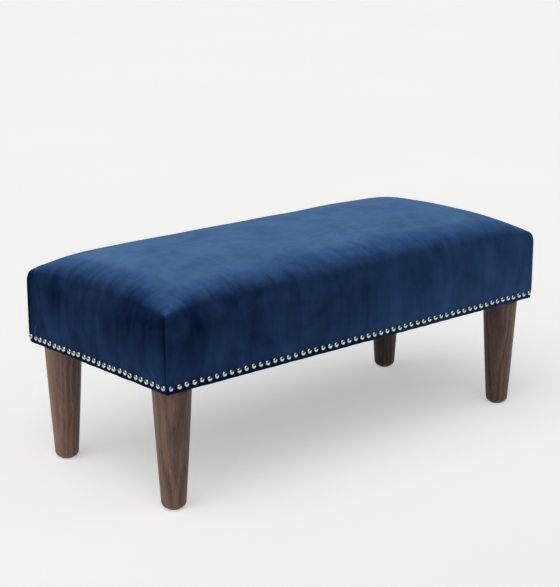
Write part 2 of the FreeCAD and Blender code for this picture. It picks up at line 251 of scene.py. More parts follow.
def wire(tree, kind, inputs=None, **settings):
    """Adds a node, sets it up, and sets or links its inputs by name or index."""
    node = tree.nodes.new(kind)
    for key, value in settings.items():
        setattr(node, key, value)
    for key, value in (inputs or {}).items():
        if isinstance(value, bpy.types.NodeSocket):
            tree.links.new(value, node.inputs[key])
        else:
            node.inputs[key].default_value = value
    return node


def maths(tree, operation, first, second=0.0):
    """One sum on one or two values or sockets."""
    return wire(tree, "ShaderNodeMath", {0: first, 1: second}, operation=operation).outputs["Value"]


def added(tree, first, *others):
    """The sum of several values or sockets."""
    for other in others:
        first = maths(tree, "ADD", first, other)
    return first


def times(tree, first, second):
    """The product of two values or sockets."""
    return maths(tree, "MULTIPLY", first, second)


def split_xyz(tree, vector):
    """The X, Y and Z sockets of a vector."""
    return wire(tree, "ShaderNodeSeparateXYZ", {0: vector}).outputs


def join_xyz(tree, **parts):
    """A vector from its X, Y and Z, those left out being nought."""
    return wire(tree, "ShaderNodeCombineXYZ", parts).outputs["Vector"]


# Materials

# Range that a noise factor mostly keeps to
NOISE_SPAN = (0.3, 0.7)

# How far up a face looks, between an upright wall and the top
TIPPED_SPAN = (0.2, 0.8)

# How far up the velvet faces, and how much of the top's painted light it takes instead of the walls' painted
# shade (partly also the pile lying flat on the top)
LIT_TOP_SHARES = (
    (0.10, 0.0),
    (0.50, 0.05),
    (0.75, 0.13),
    (0.86, 0.25),
    (0.92, 0.40),
    (0.965, 0.64),
    (0.99, 1.0),
)


def start_finish(name, sockets):
    """A new material; returns it with its tree and its shader, whose constant sockets are set."""
    material = bpy.data.materials.new(name)
    material.use_nodes = True
    shader = material.node_tree.nodes["Principled BSDF"]
    for socket, value in sockets.items():
        shader.inputs[socket].default_value = value
    return material, material.node_tree, shader


def place_of(tree, scale=(1.0, 1.0, 1.0), turn=(0.0, 0.0, 0.0)):
    """The piece's own coordinates in metres, stretched and turned for a pattern."""
    source = wire(tree, "ShaderNodeTexCoord").outputs["Object"]
    values = {"Vector": source, "Scale": scale, "Rotation": turn}
    return wire(tree, "ShaderNodeMapping", values).outputs["Vector"]


def stored(tree, name):
    """The sockets of a value that the mesh stores at its points."""
    return wire(tree, "ShaderNodeAttribute", attribute_name=name).outputs


def noise(tree, vector, scale, detail=2.0, roughness=0.5, distortion=0.0):
    """A noise factor from 0 to 1."""
    values = {"Vector": vector, "Scale": scale, "Detail": detail}
    values.update({"Roughness": roughness, "Distortion": distortion})
    return wire(tree, "ShaderNodeTexNoise", values).outputs["Fac"]


def stretch(tree, value, span, to=(0.0, 1.0)):
    """Stretches one range of a factor to another, clamped."""
    values = {"Value": value, "From Min": span[0], "From Max": span[1], "To Min": to[0], "To Max": to[1]}
    return wire(tree, "ShaderNodeMapRange", values).outputs["Result"]


def ramp(tree, factor, *stops):
    """A colour from a factor, through (place, colour) stops."""
    node = wire(tree, "ShaderNodeValToRGB", {"Fac": factor})
    elements = node.color_ramp.elements
    while len(elements) < len(stops):
        elements.new(0.5)
    for element, (place, colour) in zip(elements, stops):
        element.position = place
        element.color = (*colour, 1.0)
    return node.outputs["Color"]


def blend(tree, factor, first, second):
    """A mix of two colours by a factor."""
    node = tree.nodes.new("ShaderNodeMix")
    node.data_type = "RGBA"
    for key, value in {"Factor": factor, "A": first, "B": second}.items():
        sockets = [socket for socket in node.inputs if socket.name == key and socket.enabled]
        tree.links.new(value, sockets[0])
    return next(socket for socket in node.outputs if socket.enabled)


def relief(tree, shader, height, strength, distance):
    """Bump on a shader from a height."""
    values = {"Height": height, "Strength": strength, "Distance": distance}
    tree.links.new(wire(tree, "ShaderNodeBump", values).outputs["Normal"], shader.inputs["Normal"])


def velvet_finish(colours):
    """Navy velvet: brushed patches, streaks along the pull of the cloth, fine pile and a soft sheen, with
    painted light on the top and painted shade on the walls and in the folds.
    """
    sockets = {
        "Sheen Weight": 0.8,
        "Sheen Roughness": 0.25,
        "Sheen Tint": (*colours.velvet_sheen, 1.0),
        "Specular IOR Level": 0.02,
    }
    material, tree, shader = start_finish("navy_velvet", sockets)
    facing = split_xyz(tree, wire(tree, "ShaderNodeNewGeometry").outputs["Normal"])
    here = split_xyz(tree, place_of(tree))

    # The patterns: broad patches, clouds, streaks down the walls, single tips, and wisps over the shoulder
    broad_place = place_of(tree, (1.0, 1.5, 1.2))
    patches = noise(tree, broad_place, scale=7.0, detail=3.0, roughness=0.55, distortion=0.8)
    clouds = noise(tree, place_of(tree), scale=21.0, detail=3.0, roughness=0.6, distortion=1.2)
    drop_place = place_of(tree, (22.0, 22.0, 6.0))
    drops = noise(tree, drop_place, scale=1.0, detail=3.0, roughness=0.55, distortion=0.6)
    pile = noise(tree, place_of(tree), scale=900.0, detail=2.0, roughness=0.7)
    wisp_sets = []
    for wisp_scale in ((34.0, 9.0, 9.0), (9.0, 34.0, 9.0)):
        wisp_place = place_of(tree, wisp_scale, turn=(0.0, 0.0, 0.2))
        wisp_sets.append(noise(tree, wisp_place, scale=1.0, detail=4.0, roughness=0.65, distortion=1.0))
    towards_end = maths(tree, "ABSOLUTE", facing["X"])
    towards_side = maths(tree, "ABSOLUTE", facing["Y"])
    aside = maths(tree, "SUBTRACT", towards_end, towards_side)
    wisps = blend(tree, stretch(tree, aside, (-0.08, 0.08)), *wisp_sets)

    # How much of the top's painted light the velvet takes by how far up it faces, instead of the walls'
    # painted shade, straying along the wisps where the cloth turns over
    lit_top_share = ramp(tree, facing["Z"], *((place, (part, part, part)) for place, part in LIT_TOP_SHARES))
    partly = times(tree, lit_top_share, maths(tree, "SUBTRACT", 1.0, lit_top_share))
    stray = times(tree, partly, stretch(tree, wisps, NOISE_SPAN, (-0.34, 0.34)))
    on_top = added(tree, lit_top_share, stray)

    # How far the pile is stroked, with streaks on the walls and wisps and clouds on the top
    streak_share = stretch(tree, facing["Z"], TIPPED_SPAN, (0.32, 0.0))
    streaks = times(tree, stretch(tree, drops, NOISE_SPAN, (0.15, 0.85)), streak_share)
    fringe = times(tree, wisps, stretch(tree, facing["Z"], TIPPED_SPAN, (0.0, 0.17)))
    mist = times(tree, clouds, stretch(tree, facing["Z"], TIPPED_SPAN, (0.15, 0.30)))
    broad = added(tree, times(tree, patches, 0.45), mist)
    fine = added(tree, streaks, fringe, times(tree, pile, 0.08))
    nap = added(tree, broad, fine)

    # Lighter low on the walls and towards the right end of the top; painted light towards the right end of
    # the walls, painted sheen towards the back of the top, and painted shade in the folds, under the nails
    # and at the top's corners
    low = stretch(tree, here["Z"], (0.27, 0.385), (0.11, -0.07))
    # Painted light: the walls are lighter towards the right end, where the lights fall stronger
    right = stretch(tree, here["X"], (-0.5, 0.45), (-0.07, 0.26))
    hung = added(tree, nap, added(tree, low, right))
    # Painted shade of the corner folds, under the nails and at the top's corners darkens the walls' colour
    hung = maths(tree, "SUBTRACT", hung, times(tree, stored(tree, "painted_shade")["Fac"], 0.45))
    # Painted sheen: the top is lighter towards the back
    painted_sheen_back = stretch(tree, here["Y"], (-0.17, 0.12), (-0.03, 0.09))
    right_end = stretch(tree, here["X"], (0.1, 0.45), (0.0, 0.06))
    laid = added(tree, nap, added(tree, painted_sheen_back, right_end))

    # Painted shade on the walls, painted light on the top and painted half-light at the shoulder, each also
    # carrying the pile's own patterns
    shaded_walls = ramp(tree, hung, (0.30, colours.shaded_wall_deep), (0.95, colours.shaded_wall_pale))
    lit_top = ramp(tree, laid, (0.36, colours.lit_top_deep), (0.64, colours.lit_top_pale))
    half_lit_shoulder = ramp(tree, wisps, (0.35, colours.half_lit_shoulder_deep), (0.65, colours.half_lit_shoulder_pale))
    pile_colour = blend(tree, partly, blend(tree, on_top, shaded_walls, lit_top), half_lit_shoulder)
    tree.links.new(pile_colour, shader.inputs["Base Color"])
    tree.links.new(stretch(tree, nap, NOISE_SPAN, (0.95, 0.8)), shader.inputs["Roughness"])
    height = added(tree, times(tree, pile, 0.4), times(tree, clouds, 0.6))
    relief(tree, shader, height, strength=0.20, distance=0.0008)
    return material


def walnut_finish(colours):
    """Walnut-stained turned wood: rings that run up the leg, pores, and a satin lacquer, with each leg's
    tone and painted light and shade across it.
    """
    sockets = {"Coat Weight": 0.12, "Coat Roughness": 0.30, "Specular IOR Level": 0.20}
    material, tree, shader = start_finish("stained_walnut", sockets)
    grain = stored(tree, "grain")["Vector"]
    along, fibre_place = (
        wire(tree, "ShaderNodeMapping", {"Vector": grain, "Scale": (1.0, 1.0, squeeze)}).outputs["Vector"]
        for squeeze in (0.10, 0.035)
    )
    sway = noise(tree, along, scale=14.0, detail=3.0, roughness=0.55, distortion=0.5)
    ring_values = {
        "Vector": along,
        "Scale": 30.0,
        "Distortion": 9.0,
        "Detail": 2.0,
        "Detail Scale": 1.2,
        "Detail Roughness": 0.55,
    }
    waves = wire(tree, "ShaderNodeTexWave", ring_values, wave_type="BANDS", bands_direction="X")
    rings = waves.outputs["Fac"]
    fibres = noise(tree, fibre_place, scale=620.0, detail=3.0, roughness=0.65)
    pores = stretch(tree, noise(tree, fibre_place, scale=1100.0, detail=1.0), (0.60, 0.74))
    tone = added(tree, times(tree, rings, 0.13), times(tree, sway, 0.40), times(tree, fibres, 0.34))
    tone = maths(tree, "SUBTRACT", tone, times(tree, pores, 0.22))
    # Each leg's tone, with painted light on its side towards the lights and painted shade on the other
    tone = added(tree, tone, stored(tree, "stain")["Fac"])
    stops = ((0.22, colours.walnut_dark), (0.50, colours.walnut_mid), (0.80, colours.walnut_light))
    tree.links.new(ramp(tree, tone, *stops), shader.inputs["Base Color"])
    tree.links.new(stretch(tree, fibres, NOISE_SPAN, (0.42, 0.58)), shader.inputs["Roughness"])
    relief(tree, shader, maths(tree, "SUBTRACT", fibres, pores), strength=0.22, distance=0.0004)
    return material


def nickel_finish(colours):
    """Polished nickel plate with faint smears and hammer marks."""
    material, tree, shader = start_finish("polished_nickel", {"Metallic": 1.0})
    dull_share = 0.72
    smears = noise(tree, place_of(tree), scale=260.0, detail=3.0, roughness=0.6)
    dull = tuple(channel * dull_share for channel in colours.nickel)
    tree.links.new(ramp(tree, smears, (0.35, dull), (0.6, colours.nickel)), shader.inputs["Base Color"])
    tree.links.new(stretch(tree, smears, NOISE_SPAN, (0.15, 0.07)), shader.inputs["Roughness"])
    marks = noise(tree, place_of(tree), scale=420.0, detail=1.0)
    relief(tree, shader, marks, strength=0.04, distance=0.0004)
    return material


def timber_finish():
    """Planed softwood of the frame, with its grain along X."""
    material, tree, shader = start_finish("frame_softwood", {"Specular IOR Level": 0.25})
    along = place_of(tree, (0.6, 6.0, 6.0))
    ring_values = {"Vector": along, "Scale": 9.0, "Distortion": 4.0, "Detail": 3.0, "Detail Scale": 1.2}
    rings = wire(tree, "ShaderNodeTexWave", ring_values, bands_direction="DIAGONAL").outputs["Fac"]
    fibres = noise(tree, place_of(tree, (20.0, 420.0, 420.0)), scale=1.0, detail=3.0, roughness=0.6)
    tone = added(tree, times(tree, rings, 0.6), times(tree, fibres, 0.4))
    stops = ((0.25, (0.36, 0.21, 0.10)), (0.75, (0.60, 0.42, 0.24)))
    tree.links.new(ramp(tree, tone, *stops), shader.inputs["Base Color"])
    tree.links.new(stretch(tree, fibres, NOISE_SPAN, (0.5, 0.7)), shader.inputs["Roughness"])
    relief(tree, shader, fibres, strength=0.2, distance=0.0004)
    return material


def mottled_finish(name, dark, light, scale, roughness, metallic=0.0, bump=0.15, depth=0.0005):
    """A plain made surface with the mottle, dulling and texture of its process."""
    material, tree, shader = start_finish(name, {"Metallic": metallic})
    worn_share = 0.75
    mottle = noise(tree, place_of(tree), scale, detail=4.0, roughness=0.65)
    worn = stretch(tree, mottle, NOISE_SPAN, (roughness, roughness * worn_share))
    tree.links.new(ramp(tree, mottle, (0.3, dark), (0.7, light)), shader.inputs["Base Color"])
    tree.links.new(worn, shader.inputs["Roughness"])
    relief(tree, shader, mottle, bump, depth)
    return material


def woven_finish(name, dark, light, threads, roughness=0.9):
    """Plainly woven cloth: two crossed sets of threads, so many to the metre, and loose fibre."""
    material, tree, shader = start_finish(name, {"Sheen Weight": 0.2, "Specular IOR Level": 0.2})
    worn_by = 0.12
    place = place_of(tree)
    values = {"Vector": place, "Scale": threads / (2 * math.pi), "Distortion": 0.3, "Detail": 1.0}
    waves = [wire(tree, "ShaderNodeTexWave", values, bands_direction=run) for run in ("X", "Y")]
    weave = times(tree, *(wave.outputs["Fac"] for wave in waves))
    fibre = noise(tree, place, scale=340.0, detail=3.0, roughness=0.7)
    tone = added(tree, times(tree, weave, 0.6), times(tree, fibre, 0.4))
    worn = stretch(tree, fibre, NOISE_SPAN, (roughness, roughness - worn_by))
    tree.links.new(ramp(tree, tone, (0.15, dark), (0.8, light)), shader.inputs["Base Color"])
    tree.links.new(worn, shader.inputs["Roughness"])
    relief(tree, shader, tone, strength=0.4, distance=0.0006)
    return material


def floor_finish(stage):
    """A pale studio floor with the faintest unevenness, which glows a little: painted light that lightens
    the shadows on it.
    """
    sockets = {
        "Roughness": 1.0,
        "Specular IOR Level": 0.0,
        "Emission Color": (1.0, 1.0, 0.99, 1.0),
        "Emission Strength": stage.floor_glow,
    }
    material, tree, shader = start_finish("pale_floor", sockets)
    wash = noise(tree, place_of(tree), scale=0.9)
    stops = ((0.3, (0.872, 0.872, 0.868)), (0.7, (0.890, 0.890, 0.886)))
    tree.links.new(ramp(tree, wash, *stops), shader.inputs["Base Color"])
    return material


# Shares and curves

# Least size that a length is divided by
TINY = 1e-9


def share(value, whole):
    """How much of a whole a value is, from 0 to 1."""
    return np.clip(value / whole, 0, 1)


def rest(value, whole):
    """How much of a whole a value leaves, from 0 to 1."""
    return np.clip(1 - value / whole, 0, 1)


def between(low, high, part):
    """A value so far on the way from one to another."""
    return low + (high - low) * part


def smooth_step(part):
    """A share that starts and ends gently."""
    return part * part * (3 - 2 * part)


def bell(value, width):
    """A bell curve, which is 1 at nought and falls off over a width to both sides."""
    return np.exp(-((value / width) ** 2))


def swell(first, second, wavelength, seed):
    """A slow, smooth unevenness from about -1 to 1 over two coordinates."""
    chance = np.random.default_rng(seed)
    waves = 7
    loudest = 4.0
    total = np.zeros_like(first)
    for _ in range(waves):
        turn = chance.uniform(0, 2 * math.pi)
        wave = 2 * math.pi / (wavelength * chance.uniform(0.6, 1.7))
        phase = chance.uniform(0, 2 * math.pi)
        total += np.sin(wave * (first * math.cos(turn) + second * math.sin(turn)) + phase)
    return total / loudest


def crease(first, second, start, end, width, depth):
    """A soft furrow with a ridge beside it between two points on a face, strongest at its start."""
    lead = 0.1
    run_x, run_y = end[0] - start[0], end[1] - start[1]
    length = math.hypot(run_x, run_y)
    along = ((first - start[0]) * run_x + (second - start[1]) * run_y) / length**2
    aside = ((first - start[0]) * run_y - (second - start[1]) * run_x) / length
    fade = np.where((along > -lead) & (along < 1), np.clip(1 - along, 0, 1) ** 0.8, 0.0)
    fade *= share(along + lead, 1.5 * lead)
    furrow = 0.5 * bell(aside, 0.7 * width)
    ridge = 0.8 * bell(aside - 1.7 * width, 1.1 * width)
    return depth * fade * (ridge - furrow)


# Meshes


def mesh_object(name, places, faces, material, smooth=True):
    """A new object from points and faces, in place, with one material."""
    mesh = bpy.data.meshes.new(name)
    mesh.from_pydata([tuple(place) for place in places], [], [tuple(face) for face in faces])
    mesh.update()
    mesh.polygons.foreach_set("use_smooth", [smooth] * len(mesh.polygons))
    mesh.materials.append(material)
    piece = bpy.data.objects.new(name, mesh)
    bpy.context.scene.collection.objects.link(piece)
    return piece


def made(piece, least=4):
    """The piece, or an error where its mesh came out empty."""
    if len(piece.data.polygons) < least:
        raise RuntimeError(f"{piece.name} has no faces")
    return piece


def fit_to_frame(piece, slot, *nodes):
    """The piece rides on the bench and stands for its solids, which it hides."""
    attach(piece, BODY)
    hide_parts(*nodes)
    return piece


def thicken(piece, thickness, offset=-1.0):
    """Gives a sheet its thickness."""
    solid = piece.modifiers.new("thickness", "SOLIDIFY")
    solid.thickness = thickness
    solid.offset = offset
    return piece


def graded(half, first, growth, widest):
    """Places from -half to half, whose spacing grows from first at the ends to widest in the middle."""
    steps = [first]
    while sum(steps) < half:
        steps.append(min(steps[-1] * growth, widest))
    from_end = np.cumsum([0.0, *steps])
    from_end *= half / from_end[-1]
    low = from_end - half
    return np.concatenate([low, -low[-2::-1]])


def rounded(x, y, half_x, half_y, radius):
    """Moves points of a rectangle so that its corners are round."""
    over_x = np.abs(x) - (half_x - radius)
    over_y = np.abs(y) - (half_y - radius)
    in_corner = (over_x > 0) & (over_y > 0)
    reach = np.where(in_corner, np.hypot(over_x, over_y), 1.0)
    draw = np.where(in_corner, np.maximum(over_x, over_y) / np.maximum(reach, TINY), 1.0)
    new_x = np.where(in_corner, np.sign(x) * (half_x - radius + over_x * draw), x)
    new_y = np.where(in_corner, np.sign(y) * (half_y - radius + over_y * draw), y)
    return new_x, new_y


def outward(x, y, seat):
    """Outward directions on the upright walls; at a corner they turn with its rounding."""
    at_wall = 1e-6
    radius = seat.corner_radius
    over_x = np.maximum(np.abs(x) - (seat.half_length - radius), 0) * np.sign(x)
    over_y = np.maximum(np.abs(y) - (seat.half_width - radius), 0) * np.sign(y)
    on_end = np.abs(np.abs(x) - seat.half_length) < at_wall
    on_side = np.abs(np.abs(y) - seat.half_width) < at_wall
    in_corner = (np.abs(over_x) > 0) & (np.abs(over_y) > 0)
    out_x = np.where(in_corner, over_x, np.where(on_end & ~on_side, np.sign(x), 0.0))
    out_y = np.where(in_corner, over_y, np.where(on_side & ~on_end, np.sign(y), 0.0))
    size = np.maximum(np.hypot(out_x, out_y), TINY)
    return out_x / size, out_y / size


def eased(places, half_x, half_y, below, radius):
    """Points of a padded block, each so far below its top, with the top of its corners rounded off."""
    reach = 2.4 * radius
    from_end = np.maximum(half_x - np.abs(places[:, 0]), 0)
    from_side = np.maximum(half_y - np.abs(places[:, 1]), 0)
    depths = np.stack([from_end, from_side, below], 1)
    local = radius * bell(np.linalg.norm(depths, axis=1), reach)
    short = np.maximum(local[:, None] - depths, 0)
    size = np.maximum(np.linalg.norm(short, axis=1), TINY)
    inward = short * (1 - np.minimum(local / size, 1.0))[:, None]
    signs = np.stack([np.sign(places[:, 0]), np.sign(places[:, 1]), np.ones(len(places))], 1)
    return places - signs * inward


def smoothed(places, faces, pull, rounds):
    """Points drawn towards the middle of their neighbours, each by its own pull, so many times."""
    edges = np.array([(a, b) for face in faces for a, b in zip(face, (*face[1:], face[0]))])
    ends = np.concatenate([edges[:, 0], edges[:, 1]])
    others = np.concatenate([edges[:, 1], edges[:, 0]])
    pulled = pull[ends] > 0
    ends, others = ends[pulled], others[pulled]
    count = np.maximum(np.bincount(ends, minlength=len(places)), 1)
    moved = places.copy()
    for _ in range(rounds):
        for axis in range(3):
            middle = np.bincount(ends, moved[others, axis], len(places)) / count
            moved[:, axis] += pull * (middle - moved[:, axis])
    return moved


def grid_faces(count_x, count_y):
    """The quads of a grid of points, and the numbers of its points once round its border."""
    index = np.arange(count_x * count_y).reshape(count_y, count_x)
    corners = (index[:-1, :-1], index[:-1, 1:], index[1:, 1:], index[1:, :-1])
    faces = [tuple(face) for face in np.stack([corner.ravel() for corner in corners], 1)]
    border = np.concatenate([index[0, :-1], index[:-1, -1], index[-1, :0:-1], index[:0:-1, 0]])
    return faces, border


def perimeter(across, along):
    """The grid's border once round, anticlockwise from its front left corner: x, y and side number."""
    count_x, count_y = len(along) - 1, len(across) - 1
    right, left = np.full(count_y, along[-1]), np.full(count_y, along[0])
    front, rear = np.full(count_x, across[0]), np.full(count_x, across[-1])
    x = np.concatenate([along[:-1], right, along[:0:-1], left])
    y = np.concatenate([front, across[:-1], rear, across[:0:-1]])
    side = np.repeat([0, 1, 2, 3], [count_x, count_y, count_x, count_y])
    return x, y, side


def halved(values):
    """A closed row of values with a middle value put between each two."""
    middles = (values + np.roll(values, -1)) / 2
    return np.stack([values, middles], 1).ravel()


def ring_faces(upper, lower):
    """Quads between two closed rows of as many points."""
    return list(zip(upper, lower, np.roll(lower, -1), np.roll(upper, -1)))


def splitting_faces(upper, lower):
    """Faces between a closed row and the one below it of twice as many points."""
    return list(zip(upper, lower[::2], lower[1::2], np.roll(lower[::2], -1), np.roll(upper, -1)))


class HungRows:
    """A grid of points with closed rows of points hung from its border, one below another."""

    def __init__(self, points, faces, border):
        self.points = [points]
        self.faces = faces
        self.lowest = border
        self.count = len(points)

    def hang(self, row, joined=ring_faces):
        """Adds a closed row under the lowest one."""
        lower = np.arange(self.count, self.count + len(row))
        self.points.append(row)
        self.faces += joined(self.lowest, lower)
        self.lowest = lower
        self.count += len(row)

    def places(self):
        """All the points, in the order of their numbers."""
        return np.concatenate(self.points)


def sheet_grid(low, high, spacing, height):
    """Points and faces of a level sheet whose height is a function of its place."""
    columns = max(2, round((high.x - low.x) / spacing))
    rows = max(2, round((high.y - low.y) / spacing))
    x, y = np.meshgrid(np.linspace(low.x, high.x, columns + 1), np.linspace(low.y, high.y, rows + 1))
    return np.stack([x.ravel(), y.ravel(), height(x, y).ravel()], 1), grid_faces(columns + 1, rows + 1)[0]


def turned_mesh(profile, centre, segments):
    """Points and faces of a closed turned piece from (radius, height) points, first and last on the axis."""
    turns = [2 * math.pi * step / segments for step in range(segments)]
    points = [(centre.x, centre.y, profile[0][1])]
    for radius, height in profile[1:-1]:
        points += [(centre.x + radius * math.cos(t), centre.y + radius * math.sin(t), height) for t in turns]
    points.append((centre.x, centre.y, profile[-1][1]))
    rings = [list(range(1 + row * segments, 1 + (row + 1) * segments)) for row in range(len(profile) - 2)]
    faces = [(0, b, a) for a, b in zip(rings[0], rings[0][1:] + rings[0][:1])]
    for low, high in zip(rings, rings[1:]):
        for place in range(segments):
            after = (place + 1) % segments
            faces.append((low[place], low[after], high[after], high[place]))
    last = len(points) - 1
    faces += [(a, b, last) for a, b in zip(rings[-1], rings[-1][1:] + rings[-1][:1])]
    return points, faces


# The form of the cover and of the padding under it


# Fall of the crown towards the ends and the sides: how late it starts, and how blunt it is at the edge
END_FALL = (9.38, 0.788)
SIDE_FALL = (3.02, 0.596)


def fall_off(distance, half, lateness, bluntness):
    """What is left of the crown at a distance from its middle line, from 1 down to 0 at the edge."""
    return (1 - np.minimum(np.abs(distance) / half, 1.0) ** lateness) ** bluntness


def crown_height(seat, x, y):
    """The crown above the shoulder line: full along the middle, rolled off at the sides and ends."""
    along = fall_off(x, seat.half_length, *END_FALL)
    across = fall_off(y, seat.half_width, *SIDE_FALL)
    return seat.crown_rise * along * across


class CoverForm:
    """Works out the velvet cover's surface from the seat's and the nails' settings."""

    # Creases, each with its start and end, its width and its depth; a point is (from the corner, height)
    # on a wall, and (from the end, from the side) on the top
    HEM_CREASES = (
        ((0.013, 0.020), (0.036, 0.066), 0.0046, 0.0034),
        ((0.032, 0.020), (0.058, 0.052), 0.0040, 0.0016),
    )
    TOP_CREASES = (
        ((0.004, 0.010), (0.032, 0.026), 0.0032, 0.0010),
        ((0.012, 0.002), (0.026, 0.036), 0.0032, 0.0010),
    )

    # Rows of the wall's mesh: steps down from the shoulder, even rows to a height above the hem, fine rows
    # to the nail line, then heights down to the hem, and steps of the hem inwards
    SHOULDER_STEPS = (0.0015, 0.002, 0.003, 0.004, 0.005)
    EVEN_ROWS = 15
    EVEN_TO = 0.042
    FINE_ROWS = (0.0385, 0.016, 9)
    NAIL_ROWS = (0.0138, 0.0118, 0.0098, 0.0078, 0.006, 0.0043, 0.0028, 0.0015, 0.0006, 0.0)
    HEM_STEPS = (0.009, 0.014)

    def __init__(self, seat, nails):
        self.seat = seat
        self.nails = nails
        self.shoulder_z = seat.top_z - seat.crown_rise
        self.wall = self.shoulder_z - seat.hem_z

    def edge_distances(self, x, y):
        """How far points stand from the nearest end and from the nearest long side."""
        return self.seat.half_length - np.abs(x), self.seat.half_width - np.abs(y)

    def inset(self, height):
        """How far the whole wall is drawn in at a height above the hem, under the roll of its edge."""
        roll = 0.0032
        under = np.clip(roll - height, 0, roll)
        return roll - np.sqrt(roll**2 - under**2)

    def draw_in(self, from_corner, height):
        """How far the wall is drawn in along the nail line, less at the corners."""
        reach = 0.034
        corner_reach = 0.03
        corner_share = 0.25
        depth = self.seat.nail_draw * smooth_step(rest(height - self.nails.line_height, reach))
        return depth * np.clip(corner_share + from_corner / corner_reach, 0, 1)

    def lean(self, from_corner, height):
        """How far the wall leans in below the shoulder, less at the corners."""
        corner_reach = 0.07
        corner_share = 0.18
        up = rest(self.wall - height, self.seat.shoulder_depth)
        free = smooth_step(share(from_corner, corner_reach))
        return self.seat.shoulder_lean * up**2 * between(corner_share, 1.0, free)

    def wall_relief(self, side, x, y, height):
        """What stands out from or into the wall: padding, nail pulls, corner folds and creases."""
        end_spread = 0.85
        on_end = side % 2 == 1
        along = np.where(on_end, y, x)
        half_span = np.where(on_end, self.seat.half_width, self.seat.half_length)
        from_corner = half_span - np.abs(along)
        out = -self.draw_in(from_corner, height) - self.lean(from_corner, height)
        out += self.padding_swell(side, along, from_corner, height)
        out += self.nail_pull(side, along, height)
        out += self.tuck(on_end, from_corner, height)
        out += self.ear(on_end, from_corner, height)
        for corner in (-1, 1):
            beside = (half_span - corner * along) * np.where(on_end, end_spread, 1.0)
            for course in self.HEM_CREASES:
                out += crease(beside, height, *course)
        return out

    def padding_swell(self, side, along, from_corner, height):
        """The padding's slow and short unevenness, from above the nails, and less at the corners."""
        starts_at = 0.016
        full_over = 0.03
        corner_reach = 0.04
        corner_share = 0.15
        short_share = 0.35
        free = share(height - starts_at, full_over) * np.clip(from_corner / corner_reach, corner_share, 1)
        slow = swell(along + 3.7 * side, 0.45 * height, wavelength=0.11, seed=11)
        short = swell(along - 1.9 * side, 0.12 * height, wavelength=0.032, seed=12)
        return self.seat.unevenness * free * (slow + short_share * short)

    def nail_pull(self, side, along, height):
        """The dimple at each nail, the puff between nails and the small folds that rise from them."""
        dimple_depth = 0.0008
        dimple_width = 0.0060
        dimple_height = 0.0065
        puff_depth = 0.0004
        puff_height = 0.010
        fold_depth = 0.00022
        fold_height = 0.016
        beside, phase = self.beside_nail(side, along)
        above = height - self.nails.line_height
        beat = np.cos(2 * math.pi * phase)
        dimple = dimple_depth * bell(beside, dimple_width) * bell(above, dimple_height)
        puff = puff_depth * bell(above, puff_height) * (1 - beat) / 2
        folds = fold_depth * beat * np.exp(-np.clip(above, 0, 1) / fold_height) * (above > 0)
        return puff - dimple - folds

    def tuck(self, on_end, from_corner, height):
        """The corner fold: the long side's cloth laps round the corner, and the end's is tucked under it."""
        lap_height = 0.0009
        lap_edge = 0.0010
        slit_width = 0.0018
        top_past = 0.001
        top_fade = 0.012
        hem_from = 0.002
        hem_fade = 0.006
        hem_share = 0.2
        past = from_corner - self.seat.fold_offset
        up = share(height, self.wall)
        lap = lap_height * share(-past, lap_edge)
        slit = self.seat.fold_depth * bell(past, slit_width) * (past > -lap_edge)
        hollow_reach = between(0.008, 0.016, up)
        hollow_depth = between(0.0024, 0.0044, up)
        hollow = hollow_depth * np.exp(-np.clip(past, 0, 1) / hollow_reach) * (past > 0)
        fade = share(self.wall + top_past - height, top_fade)
        fade = fade * np.clip((height - hem_from) / hem_fade, hem_share, 1)
        return np.where(on_end, (lap - slit - hollow) * fade, 0.0)

    def ear(self, on_end, from_corner, height):
        """The gathered cloth at the top of a corner fold, on the long sides, with a fold beside it."""
        knob_depth = 0.0020
        knob_width = 0.009
        knob_height = 0.012
        knob_below = 0.004
        fold_start = (0.0215, self.wall + 0.002)
        fold_end = (0.024, self.wall - 0.032)
        below = self.wall - height
        knob = knob_depth * bell(from_corner - knob_width, knob_width)
        knob = knob * bell(below - knob_below, knob_height)
        fold = crease(from_corner, height, fold_start, fold_end, width=0.0022, depth=0.0018)
        return np.where(on_end, 0.0, knob + fold)

    def sink(self, from_end, from_side):
        """How far the cloth lies below the shoulder line close to a corner."""
        reach = 0.020
        return self.seat.corner_sink * bell(np.hypot(from_end, from_side), reach)

    def painted_shade(self, side, x, y, height):
        """How deep in the painted shade of a corner fold or under the nails the cloth lies, from 0 to 1."""
        fold_lip = 0.001
        top_past = 0.003
        top_fade = 0.004
        nail_shade = 0.70
        nail_reach = 0.008
        nail_fade = 0.012
        past = self.edge_distances(x, y)[1] - self.seat.fold_offset
        up = share(height, self.wall)
        fade = share(self.wall + top_past - height, top_fade)
        shade = np.exp(-np.clip(past, 0, 1) / between(0.006, 0.013, up)) * (past > -fold_lip)
        corner = np.where(side % 2 == 1, shade * fade * between(0.65, 1.0, up), 0.0)
        nails = nail_shade * share(self.nails.line_height + nail_reach - height, nail_fade)
        return np.maximum(corner, nails)

    def top_relief(self, x, y):
        """Slow swell of the top, and the puckers that run in from each corner."""
        edge_reach = 0.04
        from_end, from_side = self.edge_distances(x, y)
        inside = share(np.minimum(from_end, from_side), edge_reach)
        out = self.seat.unevenness * inside * swell(x, 1.5 * y, wavelength=0.21, seed=21)
        for course in self.TOP_CREASES:
            out += crease(from_end, from_side, *course)
        return out - self.sink(from_end, from_side)

    def depth_free(self, height):
        """How far the cloth may be pressed in: little over the rails, further over the padding."""
        over_rails = 0.0036
        over_padding = 0.0096
        padding_from = 0.075
        full_over = 0.02
        return between(over_rails, over_padding, share(height - padding_from, full_over))

